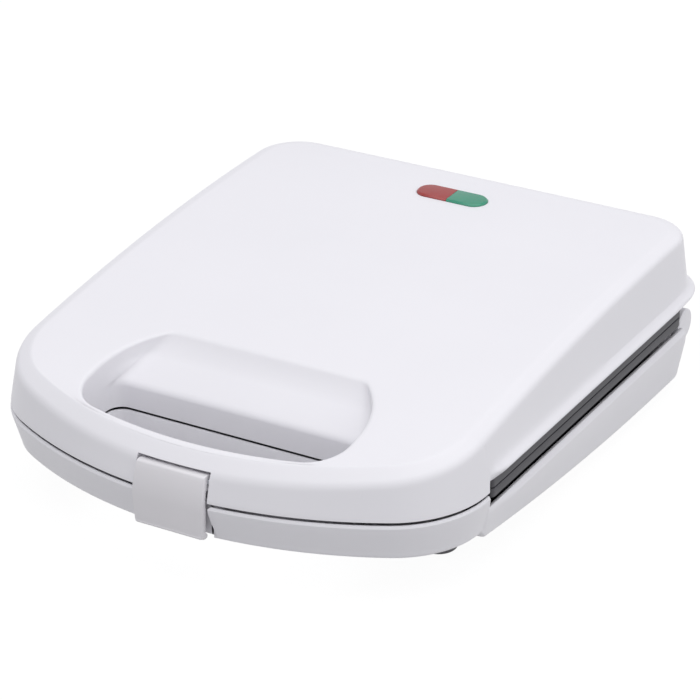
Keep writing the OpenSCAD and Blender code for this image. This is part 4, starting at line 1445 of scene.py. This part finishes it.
    def rings(self) -> list[np.ndarray]:
        """All rings of the shell, from the opening inside, up the wall and round the bottom.

        Returns:
            The rings in order.
        """
        drawn_in = self.low_ring(S.base_draft, S.base_round)
        *edge, high = self.edge_rings()
        rings = self.opening_rings() + self.inner_rings() + edge
        rings += [mix(high, drawn_in, t) for t in self.wall_rows]
        for angle in np.linspace(*self.round_angles):
            inward, up = 1 - math.cos(angle), 1 - math.sin(angle)
            rings.append(
                self.low_ring(S.base_draft + inward * S.base_round, up * S.base_round)
            )
        belly = np.linspace(0, 1, self.belly_steps + 1)[1:]
        return rings + [
            self.bottom_ring(part, S.base_draft + S.base_round, 0, S.edge_round)
            for part in (*belly, *self.step_parts)
        ]

    def opening_rings(self) -> list[np.ndarray]:
        """Rings round the opening's lower edge, up its wall and over its upper edge.

        Returns:
            The rings in order.
        """
        r = S.edge_round
        wall = [O.ring(O.opening(0), -out, -S.base_edge - drop) for out, drop in self.hole_rows]
        near, edge = (self.bottom_ring(3, 0, 0, grow) for grow in (2 * r, 0))
        return rolled(near, edge, wall[0], (r, r), steps=5) + wall

    def inner_rings(self) -> list[np.ndarray]:
        """Rings inside the shell, from the opening over the bottom to the wall.

        Returns:
            The rings in order.
        """
        w = S.wall
        rings = [self.bottom_ring(3, 0, w, w, w)]
        rings += [self.bottom_ring(part, self.floor_in, w, w, w) for part in self.inner_parts]
        return rings + [self.low_ring(S.base_draft + w, S.base_round + w, w)]

    def edge_rings(self) -> list[np.ndarray]:
        """Rings over the upper edge, the last at the head of the drawn-in wall.

        Returns:
            The rings in order.
        """
        swell = O.swell(O.base()[:, 1], S.ledge_swell)
        rings = []
        for (front, fall), (start, end, drop), (back, sink) in self.edge_rows:
            window = (mix(start, end, swell), self.ledge_top - drop)
            rings.append(
                self.wall_ring(
                    (front, -S.base_edge - fall), window, (back, -self.back_edge - sink)
                )
            )
        return rings

    def build(self) -> bpy.types.Object:
        """Builds the cover with the latch's bar, the hinge slots and the seats of the feet.

        Returns:
            The dressed cover.
        """
        shell = ring_shell("base_cover_shell", self.rings())
        half, bar, low = S.notch_half_w, S.bar_front, self.bar_bottom
        wide, top = half + self.bar_wide, -S.base_edge - self.bar_drop
        foot = (-wide, bar, low - self.bar_lap)
        added = [
            block("bar", foot, (wide, bar + S.wall, top)),
            block("shelf", foot, (wide, bar + self.shelf_d, low + S.wall)),
        ]
        cut = [
            block("notch_cut", (-half, -FAR, -FAR), (half, bar, FAR)),
            block("hook_cut", (-half, -FAR, -FAR), (half, bar + S.wall + self.hook_room, low)),
        ]
        for side in SIDES:
            added += self.bosses(side)
            cut += [*self.slots(side), self.flare(side), *self.screw_holes(side)]
        inlet = (-self.inlet[0], S.base_d - self.inlet_lap, self.inlet[1])
        cut.append(rod("inlet_cut", inlet, Axis.Y, FAR, self.gland_r, 40))
        piece = carve(shell, added, cut)
        return dress(shade(piece), WHITE_ABS, Body.BASE, "base_cover")

    def bosses(self, side: int) -> list[bpy.types.Object]:
        """A front foot's column and the bosses for the plate's and the bracket's screws.

        Args:
            side: 1 on the right and -1 on the left.

        Returns:
            The closed shapes.
        """
        under = S.wall / 2
        column = (self.foot_seat, float(O.bottom(self.foot_y)) + under)
        made = [boss((side * self.foot_x, self.foot_y), column, self.foot_radii)]
        for x, y in S.plate_screws:
            ends = (float(O.bottom(y)) + under, self.screw_seat + self.screw_boss_h)
            made.append(boss((side * x, y), ends, self.screw_boss))
        for y in S.bracket_screws_y:
            ends = tuple(S.wall - S.base_back_h + z for z in self.bracket_boss_z)
            made.append(boss((side * S.bracket_screw_x, y), ends, self.bracket_boss))
        return made

    def screw_holes(self, side: int) -> list[bpy.types.Object]:
        """Cutters from below for the plate's and the bracket's screws.

        Args:
            side: 1 on the right and -1 on the left.

        Returns:
            The cutters.
        """
        depth, across = FAR + self.screw_seat, side * S.bracket_screw_x
        height, hole_r = self.bracket_hole_h, self.bracket_hole_r
        heads = [
            rod("screw_cut", (side * x, y, -FAR), Axis.Z, depth, self.screw_head_r, 32)
            for x, y in S.plate_screws
        ]
        return heads + [
            rod("screw_cut", (across, y, -FAR), Axis.Z, height, hole_r, 24)
            for y in S.bracket_screws_y
        ]

    def flare(self, side: int) -> bpy.types.Object:
        """Cutter that rounds and widens the notch's edge beside the latch.

        Args:
            side: 1 on the right and -1 on the left.

        Returns:
            The cutter.
        """
        profile = [(side * (S.notch_half_w + x), z) for x, z in self.flare_rows]
        ends = [np.array([(x, y, z) for x, z in profile]) for y in (-FAR, S.bar_front)]
        return prism("flare_cut", *ends)

    def slots(self, side: int) -> list[bpy.types.Object]:
        """Cutters of one hinge: the arm's slot and the fixed knuckle's seat.

        Args:
            side: 1 on the right and -1 on the left.

        Returns:
            The cutters.
        """
        y, z, r = S.hinge_y, S.hinge_z, self.knuckle_r + self.knuckle_gap
        seat, far = S.bracket_x0 - self.slot_lap, FAR + S.bracket_x0
        spans = (
            ((S.arm_x0 - self.slot_gap, z - self.slot_depth), S.bracket_x0 + self.slot_lap),
            ((seat, z), far),
        )
        cutters = []
        for (inner, low), outer in spans:
            x0, x1 = sorted((side * inner, side * outer))
            cutters.append(block("slot_cut", (x0, y - r, low), (x1, y + FAR, z + FAR)))
        start = seat if side > 0 else -far
        return [*cutters, rod("knuckle_cut", (start, y, z), Axis.X, FAR, r, 64)]


# --- fasteners and tubes -------------------------------------------------------------------


def modifier_tree(
    name: str, lengths: Sequence[str]
) -> tuple[bpy.types.NodeTree, dict[str, bpy.types.NodeSocket]]:
    """Starts a geometry node tree with a named input for each of its sizes and its finish.

    Args:
        name: the tree's name.
        lengths: names of the sizes.

    Returns:
        The tree and the sockets of its inputs, by name.
    """
    tree = bpy.data.node_groups.new(name, "GeometryNodeTree")
    tree.interface.new_socket("Geometry", in_out="INPUT", socket_type="NodeSocketGeometry")
    for label in lengths:
        tree.interface.new_socket(label, in_out="INPUT", socket_type="NodeSocketFloat")
    tree.interface.new_socket("Finish", in_out="INPUT", socket_type="NodeSocketMaterial")
    tree.interface.new_socket("Geometry", in_out="OUTPUT", socket_type="NodeSocketGeometry")
    given = add_node(tree, "NodeGroupInput").outputs
    return tree, {label: given[label] for label in ("Geometry", *lengths, "Finish")}


def finish_tree(
    tree: bpy.types.NodeTree, shape: bpy.types.NodeSocket, finish: bpy.types.NodeSocket
) -> None:
    """Ends a geometry node tree with plain geometry in its finish.

    Args:
        tree: the tree.
        shape: the geometry that it has made.
        finish: the material.
    """
    real = add_node(tree, "GeometryNodeRealizeInstances", links={"Geometry": shape})
    coated = add_node(
        tree,
        "GeometryNodeSetMaterial",
        links={"Geometry": real.outputs["Geometry"], "Material": finish},
    )
    add_node(tree, "NodeGroupOutput", links={0: coated.outputs["Geometry"]})


def run_tree(
    name: str,
    points: np.ndarray,
    edges: Sequence[tuple[int, int]],
    tree: bpy.types.NodeTree,
    values: dict[str, object],
) -> bpy.types.Object:
    """Runs a geometry node tree on points and lines and keeps the plain mesh.

    Args:
        name: the piece's name.
        points: rows of x, y and z in mm in the casing's frame.
        edges: pairs of point numbers.
        tree: the node tree.
        values: its sizes in mm and its finish, by name.

    Returns:
        The piece.
    """
    mesh = bpy.data.meshes.new(name)
    mesh.from_pydata(S.to_frame(points).tolist(), list(edges), [])
    piece = link(name, mesh)
    step = piece.modifiers.new("shape", "NODES")
    step.node_group = tree
    for item in tree.interface.items_tree:
        if item.item_type == "SOCKET" and item.in_out == "INPUT" and item.name in values:
            value = values[item.name]
            step[item.identifier] = value * MM if isinstance(value, float) else value
    return baked(piece)


@dataclass
class ScrewSet:
    """Pan-head screws with a cross recess, one at each place on both sides, heads down.

    crown_share is the crown's share of the head's height, crown_top_share the share of the
    head's radius that its top keeps, and slot_share the width of the recess over its length.
    """

    node: str
    body: Body
    places: list[tuple[float, float, float]]
    length: float = 11.0
    head_r: float = 3.0
    head_t: float = 1.8
    shank_r: float = 1.5
    recess: float = 3.6
    crown_share: float = 0.45
    crown_top_share: float = 0.72
    slot_share: float = 0.26
    head_sides: int = 28
    shank_sides: int = 20
    tree_name: str = field(default="cross_screws", init=False)

    def lengths(self, tree: bpy.types.NodeTree, size: dict[str, bpy.types.NodeSocket]) -> None:
        """Adds the lengths and heights that follow from the screw's sizes.

        Args:
            tree: the node tree.
            size: the sockets by name, to which the new ones are added.
        """
        rows = (
            ("crown", "MULTIPLY", "Head height", self.crown_share),
            ("rim", "SUBTRACT", "Head height", "crown"),
            ("crown top", "MULTIPLY", "Head radius", self.crown_top_share),
            ("slot", "MULTIPLY", "Recess", self.slot_share),
            ("shank middle", "MULTIPLY", "Shank length", 0.5),
            ("rim middle", "MULTIPLY", "rim", -0.5),
            ("rim bottom", "MULTIPLY", "rim", -1.0),
            ("head bottom", "MULTIPLY", "Head height", -1.0),
        )
        for label, operation, first, second in rows:
            values, links = {}, {0: size[first]}
            if second in size:
                links[1] = size[second]
            else:
                values[1] = second
            node = add_node(tree, "ShaderNodeMath", {"operation": operation}, values, links)
            size[label] = node.outputs[0]

    def shapes(
        self, tree: bpy.types.NodeTree, size: dict[str, bpy.types.NodeSocket]
    ) -> list[bpy.types.NodeSocket]:
        """Adds the shank, the head's rim and crown, and the cross that cuts them.

        Args:
            tree: the node tree.
            size: the sockets by name.

        Returns:
            Their geometry, each at its height.
        """
        shank, rim = (
            add_node(
                tree,
                "GeometryNodeMeshCylinder",
                values={"Vertices": sides},
                links={"Radius": size[radius], "Depth": size[depth]},
            )
            for sides, radius, depth in (
                (self.shank_sides, "Shank radius", "Shank length"),
                (self.head_sides, "Head radius", "rim"),
            )
        )
        crown = add_node(
            tree,
            "GeometryNodeMeshCone",
            values={"Vertices": self.head_sides},
            links={
                "Radius Bottom": size["Head radius"],
                "Radius Top": size["crown top"],
                "Depth": size["crown"],
            },
        )
        cross = add_node(tree, "GeometryNodeJoinGeometry")
        for across, along in (("Recess", "slot"), ("slot", "Recess")):
            extent = add_node(
                tree,
                "ShaderNodeCombineXYZ",
                links={"X": size[across], "Y": size[along], "Z": size["Head height"]},
            )
            bar = add_node(tree, "GeometryNodeMeshCube", links={"Size": extent.outputs[0]})
            tree.links.new(bar.outputs["Mesh"], cross.inputs["Geometry"])
        placed = []
        for shape, height, turn in (
            (shank, "shank middle", 0.0), (rim, "rim middle", 0.0),
            (crown, "rim bottom", math.pi), (cross, "head bottom", 0.0),
        ):
            lift = add_node(tree, "ShaderNodeCombineXYZ", links={"Z": size[height]})
            moved = add_node(
                tree,
                "GeometryNodeTransform",
                values={"Rotation": (turn, 0, 0)},
                links={"Geometry": shape.outputs[0], "Translation": lift.outputs[0]},
            )
            placed.append(moved.outputs["Geometry"])
        return placed

    def tree(self) -> bpy.types.NodeTree:
        """Builds the node tree that puts a screw on each point, or returns the built one.

        Returns:
            The tree.
        """
        found = bpy.data.node_groups.get(self.tree_name)
        if found is not None:
            return found
        names = ("Head radius", "Head height", "Shank radius", "Shank length", "Recess")
        tree, size = modifier_tree(self.tree_name, names)
        self.lengths(tree, size)
        *solids, cross = self.shapes(tree, size)
        screw = add_node(tree, "GeometryNodeJoinGeometry")
        for solid in solids:
            tree.links.new(solid, screw.inputs["Geometry"])
        cut = add_node(
            tree,
            "GeometryNodeMeshBoolean",
            settings={"operation": "DIFFERENCE"},
            links={"Mesh 1": screw.outputs["Geometry"], "Mesh 2": cross},
        )
        placed = add_node(
            tree,
            "GeometryNodeInstanceOnPoints",
            links={"Points": size["Geometry"], "Instance": cut.outputs["Mesh"]},
        )
        finish_tree(tree, placed.outputs["Instances"], size["Finish"])
        return tree

    def build(self) -> bpy.types.Object:
        """Builds the set on both sides of the middle.

        Returns:
            The dressed set.
        """
        both = [(s * x, y, z) for x, y, z in self.places for s in SIDES]
        sizes = {
            "Head radius": self.head_r,
            "Head height": self.head_t,
            "Shank radius": self.shank_r,
            "Shank length": self.length,
            "Recess": self.recess,
            "Finish": ZINC.material(),
        }
        piece = run_tree(finished(self.node), np.array(both), [], self.tree(), sizes)
        return dress(shade(piece, ROUND_ANGLE), ZINC, self.body, self.node)


@dataclass
class Heater:
    """Tubular element: two runs across both pockets, joined by a bend, with two terminals."""

    node: str
    body: Body
    z: float
    half_w: float = 85.0
    span: float = 68.0
    mid: float = 154.0
    tube_r: float = 3.25
    bend_r: float = 14.0
    terminal_r: float = 1.5
    terminal_len: float = 8.0
    terminal_in: float = 0.05
    sides: int = 24
    bend_steps: int = 12
    tree_name: str = field(default="bent_tube", init=False)

    def tree(self) -> bpy.types.NodeTree:
        """Builds the node tree that runs a tube along a line, or returns the built one.

        Returns:
            The tree.
        """
        found = bpy.data.node_groups.get(self.tree_name)
        if found is not None:
            return found
        tree, size = modifier_tree(self.tree_name, ("Tube radius", "Bend radius"))
        line = add_node(tree, "GeometryNodeMeshToCurve", links={"Mesh": size["Geometry"]})
        bent = add_node(
            tree,
            "GeometryNodeFilletCurve",
            settings={"mode": "POLY"},
            values={"Count": self.bend_steps},
            links={"Curve": line.outputs["Curve"], "Radius": size["Bend radius"]},
        )
        circle = add_node(
            tree,
            "GeometryNodeCurvePrimitiveCircle",
            values={"Resolution": self.sides},
            links={"Radius": size["Tube radius"]},
        )
        tube = add_node(
            tree,
            "GeometryNodeCurveToMesh",
            values={"Fill Caps": True},
            links={"Curve": bent.outputs["Curve"], "Profile Curve": circle.outputs["Curve"]},
        )
        finish_tree(tree, tube.outputs["Mesh"], size["Finish"])
        return tree

    def tube(
        self,
        name: str,
        path: Sequence[tuple[float, float]],
        radii: tuple[float, float],
        edges: Sequence[tuple[int, int]],
    ) -> bpy.types.Object:
        """Runs a tube along lines in the element's plane.

        Args:
            name: the object's name.
            path: the lines' points across and from front to back.
            radii: radius of the tube and of its bends.
            edges: pairs of point numbers.

        Returns:
            The tube.
        """
        points = np.array([(x, y, self.z) for x, y in path])
        sizes = dict(zip(("Tube radius", "Bend radius"), radii))
        sizes["Finish"] = HEATER_STEEL.material()
        return run_tree(name, points, edges, self.tree(), sizes)

    def build(self) -> bpy.types.Object:
        """Builds the element with its terminals.

        Returns:
            The dressed element.
        """
        name = finished(self.node)
        front, back = self.mid - self.span / 2, self.mid + self.span / 2
        left, right, end = -self.half_w, self.half_w, -self.half_w - self.terminal_len
        run = [(left, front), (right, front), (right, back), (left, back)]
        stubs = [(x, y) for y in (front, back) for x in (end, left + self.terminal_in)]
        piece = joined(
            self.tube(name, run, (self.tube_r, self.bend_r), [(0, 1), (1, 2), (2, 3)]),
            self.tube(f"{name}_pins", stubs, (self.terminal_r, 0.0), [(0, 1), (2, 3)]),
        )
        return dress(
            shade(piece, ROUND_ANGLE), HEATER_STEEL, self.body, self.node
        )


# --- small parts ---------------------------------------------------------------------------


@dataclass(frozen=True)
class Softened:
    """A piece that is a CAD node with rounded edges and its own finish."""

    node: str
    finish: Finish
    body: Body
    slot: Slot
    width: float
    steps: int = 3

    def build(self) -> bpy.types.Object:
        """Builds the piece."""
        piece = softened(self.node, self.width, self.steps)
        return dress(piece, self.finish, self.body, self.node)


@dataclass
class Brackets:
    """The fixed half of the hinge, its outer ends closed over the pins."""

    x: float = S.half_w - S.hinge_set
    cap_r: tuple[float, float] = (6.6, 6.2)
    cap_x: tuple[float, float] = (-0.3, 0.3)
    cap_sides: int = 64
    rounding: float = 0.3

    def build(self) -> bpy.types.Object:
        """Builds both brackets from their CAD node, each with a thin cap.

        Returns:
            The dressed brackets.
        """
        piece = softened("hinge_brackets", self.rounding)
        for side in SIDES:
            ends = []
            for r, out in zip(self.cap_r, self.cap_x):
                ring = arc(S.hinge_y, S.hinge_z, r, 0, 2 * math.pi, self.cap_sides)[:-1, :2]
                x = np.full(self.cap_sides, side * (self.x + out))
                ends.append(np.column_stack([x, ring]))
            piece = joined(piece, prism("knuckle_cap", *ends))
        return dress(shade(piece), WHITE_ABS, Body.BASE, "hinge_brackets")


@dataclass
class Latch:
    """The swinging catch, its lower half flatter than the CAD's arc as in the photograph.

    arc_r is the radius of the CAD's arc and mid_z the height at which it starts to curve back.
    flatten is the share of that curve that is taken out, narrow the share of the width that
    its foot loses, and lift the rise of its front bottom edge between lift_z and lift_y.
    """

    arc_r: float = 31.4
    mid_z: float = -3.0
    arc_reach: float = 20.0
    flatten: float = 0.93
    narrow: float = 0.055
    lift: float = 2.4
    lift_z: tuple[float, float] = (-10.0, -17.8)
    lift_y: tuple[float, float] = (3.2, -1.0)
    rounding: float = 0.5

    @staticmethod
    def along(value: float, ends: tuple[float, float]) -> float:
        """Share of the way from the first end to the second, from 0 to 1."""
        return min(max((value - ends[0]) / (ends[1] - ends[0]), 0.0), 1.0)

    def build(self) -> bpy.types.Object:
        """Builds the catch from its CAD node.

        Returns:
            The dressed catch.
        """
        piece = softened("latch", self.rounding)
        height = self.mid_z - self.lift_z[1]
        for vertex in piece.data.vertices:
            below = self.mid_z - (vertex.co.z / MM - S.parting_h)
            if below <= 0:
                continue
            sag = self.arc_r - math.sqrt(self.arc_r**2 - min(below, self.arc_reach) ** 2)
            vertex.co.y -= self.flatten * sag * MM
            vertex.co.x *= 1 - self.narrow * min(below / height, 1)
            y, z = vertex.co.y / MM + S.mid_y, self.mid_z - below
            share = self.along(z, self.lift_z) * self.along(y, self.lift_y)
            vertex.co.z += self.lift * share * MM
        # The latch's greyer finish is painted shade on the same white moulding
        return dress(piece, SHADED_LATCH_ABS, Body.LATCH, "latch")


@dataclass
class SmallParts:
    """The plates, the lamps, the hinge, the inlet, the straps and the feet."""

    parts: tuple[Softened, ...] = (
        Softened("upper_plate", NONSTICK, Body.LID, Slot.NONSTICK_COATING, 0.7),
        Softened("lower_plate", NONSTICK, Body.BASE, Slot.NONSTICK_COATING, 0.7),
        Softened("red_lens", RED_LENS, Body.LID, Slot.RED_LENS, 0.3),
        Softened("green_lens", GREEN_LENS, Body.LID, Slot.GREEN_LENS, 0.3),
        Softened("front_feet", RUBBER, Body.BASE, Slot.RUBBER, 0.6),
        Softened("rear_feet", RUBBER, Body.BASE, Slot.RUBBER, 0.6),
        Softened("hinge_arms", WHITE_ABS, Body.LID, Slot.WHITE_PLASTIC, 0.3),
        Softened("hinge_pins", ZINC, Body.BASE, Slot.PLATED_STEEL, 0.3, 2),
        Softened("latch_pin", ZINC, Body.LID, Slot.PLATED_STEEL, 0.2, 2),
        Softened("cord_gland", NYLON, Body.BASE, Slot.PALE_NYLON, 0.4),
        Softened("terminal_block", NYLON, Body.BASE, Slot.PALE_NYLON, 0.3, 2),
        Softened("lamp_holder", NYLON, Body.LID, Slot.PALE_NYLON, 0.3, 2),
        Softened("neon_lamps", BULB_GLASS, Body.LID, Slot.LAMP_GLASS, 0.2, 2),
        Softened("thermostat", PHENOLIC, Body.BASE, Slot.DARK_PHENOLIC, 0.3, 2),
        Softened("thermal_fuse", ZINC, Body.BASE, Slot.PLATED_STEEL, 0.15, 2),
        Softened("upper_heater_straps", SHEET, Body.LID, Slot.SHEET_METAL, 0.15, 2),
        Softened("lower_heater_straps", SHEET, Body.BASE, Slot.SHEET_METAL, 0.15, 2),
        # The reflectors' dark grey is partly heat dulling and partly painted shade
        Softened("upper_reflector", DULLED_SHADED_REFLECTOR_SHEET, Body.LID, Slot.SHEET_METAL, 0.2, 2),
        Softened("lower_reflector", DULLED_SHADED_REFLECTOR_SHEET, Body.BASE, Slot.SHEET_METAL, 0.2, 2),
    )

    def build(self) -> list[bpy.types.Object]:
        """Builds every part."""
        return [part.build() for part in self.parts]


@dataclass
class Fasteners:
    """All screws, by what they hold, each set at the height of its heads' faces."""

    upper_plate_z: float = 0.35 + 2.0
    lower_plate_z: float = -4.2 - 8.2
    arm_z: float = 8.0
    holder_depth: tuple[float, ...] = (S.wall, 0.7, 1.0, 0.2, 4.0)

    def build(self) -> list[bpy.types.Object]:
        """Builds the five sets of screws.

        Returns:
            The dressed sets.
        """
        holder_z = float(O.top(0.0, S.lamps_y))
        for depth in self.holder_depth:
            holder_z -= depth
        plate_high = [(x, y, self.upper_plate_z) for x, y in S.plate_screws]
        plate_low = [(x, y, self.lower_plate_z) for x, y in S.plate_screws]
        arms = [(S.arm_screw_x, y, self.arm_z) for y in S.arm_screws_y]
        brackets = [(S.bracket_screw_x, y, -S.base_back_h) for y in S.bracket_screws_y]
        holder = [(S.holder_screw_x, S.lamps_y, holder_z)]
        sets = (
            ScrewSet("upper_plate_screws", Body.LID, plate_high),
            ScrewSet("lower_plate_screws", Body.BASE, plate_low, 9.0),
            ScrewSet("hinge_arm_screws", Body.LID, arms),
            ScrewSet("hinge_bracket_screws", Body.BASE, brackets, 8.0),
            ScrewSet("lamp_holder_screws", Body.LID, holder, 5.0),
        )
        return [screws.build() for screws in sets]


# --- stage ---------------------------------------------------------------------------------


@dataclass(frozen=True)
class SoftLamp:
    """A large soft lamp: its place, what it points at, its size and its power."""

    name: str
    at: tuple[float, float, float]
    to: tuple[float, float, float]
    size: float
    power: float

    def build(self) -> bpy.types.Object:
        """Puts the lamp in place.

        Returns:
            The lamp.
        """
        data = bpy.data.lights.new(self.name, "AREA")
        data.shape = "DISK"
        data.size = self.size
        data.energy = self.power
        made = bpy.data.objects.new(self.name, data)
        bpy.context.scene.collection.objects.link(made)
        made.location = self.at
        way = Vector(self.to) - Vector(self.at)
        made.rotation_euler = way.to_track_quat("-Z", "Y").to_euler()
        return made


@dataclass
class Studio:
    """The camera at the photograph's viewing angle, a pale floor, soft lamps and the world."""

    azimuth: float = 30.44
    elevation: float = 26.75
    roll: float = -0.70
    lens: float = 158.45
    distance: float = 1326.4
    target: tuple[float, float, float] = (-1.63, 144.9, 0.0)
    sensor: float = 36.0
    clip: tuple[float, float] = (0.05, 20.0)
    floor_half: float = 6.0
    paper: str = "#b4b4b4"
    paper_glow: float = 1.18
    glow_share: float = 0.8
    world_colour: str = "#fbfbff"
    world_level: float = 0.64
    lamps: tuple[SoftLamp, ...] = (
        SoftLamp("overhead_softbox", (0.12, -0.1, 1.5), (0.0, 0.0, 0.04), 1.8, 8.6),
        SoftLamp("side_softbox", (1.45, -0.1, 0.9), (0.0, 0.0, 0.04), 1.7, 3.8),
    )

    def camera(self) -> None:
        """Makes the scene's camera."""
        a, e, r = (math.radians(v) for v in (self.azimuth, self.elevation, self.roll))
        back = Vector(
            (math.sin(a) * math.cos(e), -math.cos(a) * math.cos(e), math.sin(e))
        )
        aim = Vector(S.to_frame(np.array([self.target]))[0])
        right = (-back).cross(Vector((0, 0, 1))).normalized()
        up = back.cross(right).normalized()
        right, up = (
            right * math.cos(r) + up * math.sin(r),
            up * math.cos(r) - right * math.sin(r),
        )
        turn = Matrix((right, up, back)).transposed().to_4x4()
        data = bpy.data.cameras.new("camera")
        data.lens = self.lens
        data.sensor_width = self.sensor
        data.clip_start, data.clip_end = self.clip
        made = bpy.data.objects.new("camera", data)
        bpy.context.scene.collection.objects.link(made)
        made.matrix_world = Matrix.Translation(aim + back * self.distance * MM) @ turn
        bpy.context.scene.camera = made

    @staticmethod
    def seen(tree: bpy.types.NodeTree, also: str) -> bpy.types.NodeSocket:
        """1 for the camera's own rays and for one more kind, 0 for the light that falls.

        Args:
            tree: the node tree.
            also: the light path's output for the other kind of ray.

        Returns:
            The socket.
        """
        path = add_node(tree, "ShaderNodeLightPath").outputs
        return add_node(
            tree,
            "ShaderNodeMath",
            settings={"operation": "MAXIMUM"},
            links={0: path["Is Camera Ray"], 1: path[also]},
        ).outputs[0]

    def floor(self) -> None:
        """Makes the pale floor, white to the camera but for the object's soft shadow."""
        mesh = bpy.data.meshes.new("floor")
        w = self.floor_half
        mesh.from_pydata(
            [(-w, -w, 0), (w, -w, 0), (w, w, 0), (-w, w, 0)], [], [(0, 1, 2, 3)]
        )
        finish = bpy.data.materials.new("paper_white_matt")
        finish.use_nodes = True
        tree = finish.node_tree
        tree.nodes.clear()
        share = add_node(
            tree,
            "ShaderNodeMath",
            settings={"operation": "MULTIPLY"},
            values={1: self.glow_share},
            links={0: self.seen(tree, "Is Glossy Ray")},
        )
        paper = add_node(
            tree, "ShaderNodeBsdfDiffuse", values={"Color": linear(self.paper)}
        )
        glow = add_node(
            tree,
            "ShaderNodeEmission",
            values={"Color": (1, 1, 1, 1), "Strength": self.paper_glow},
        )
        blend = add_node(
            tree,
            "ShaderNodeMixShader",
            links={0: share.outputs[0], 1: paper.outputs[0], 2: glow.outputs[0]},
        )
        add_node(tree, "ShaderNodeOutputMaterial", links={"Surface": blend.outputs[0]})
        mesh.materials.append(finish)
        link("floor", mesh)

    def world(self) -> None:
        """Makes the world: a soft level all round, white where the camera sees it."""
        scene = bpy.context.scene
        scene.world = bpy.data.worlds.new("studio")
        scene.world.use_nodes = True
        tree = scene.world.node_tree
        tree.nodes.clear()
        around, white = (
            add_node(
                tree, "ShaderNodeBackground", values={"Color": colour, "Strength": level}
            ).outputs[0]
            for colour, level in (
                (linear(self.world_colour), self.world_level), ((1, 1, 1, 1), 1.0),
            )
        )
        seen = self.seen(tree, "Is Transmission Ray")
        blend = add_node(tree, "ShaderNodeMixShader", links={0: seen, 1: around, 2: white})
        add_node(tree, "ShaderNodeOutputWorld", links={"Surface": blend.outputs[0]})

    def build(self) -> None:
        """Sets the whole stage."""
        self.camera()
        self.floor()
        self.world()
        for lamp in self.lamps:
            lamp.build()
        bpy.context.scene.view_settings.view_transform = "Standard"


def main() -> None:
    """Builds the stage and every piece of the toaster."""
    logging.basicConfig(level=logging.INFO, format="%(message)s")
    makers: list[Callable[[], object]] = [
        Studio().build,
        LidCover().build,
        BaseCover().build,
        Latch().build,
        Brackets().build,
        SmallParts().build,
        Heater("upper_heater", Body.LID, HEATER_Z).build,
        Heater("lower_heater", Body.BASE, -HEATER_Z).build,
        Fasteners().build,
    ]
    for make in makers:
        make()


if __name__ == "__main__":
    main()
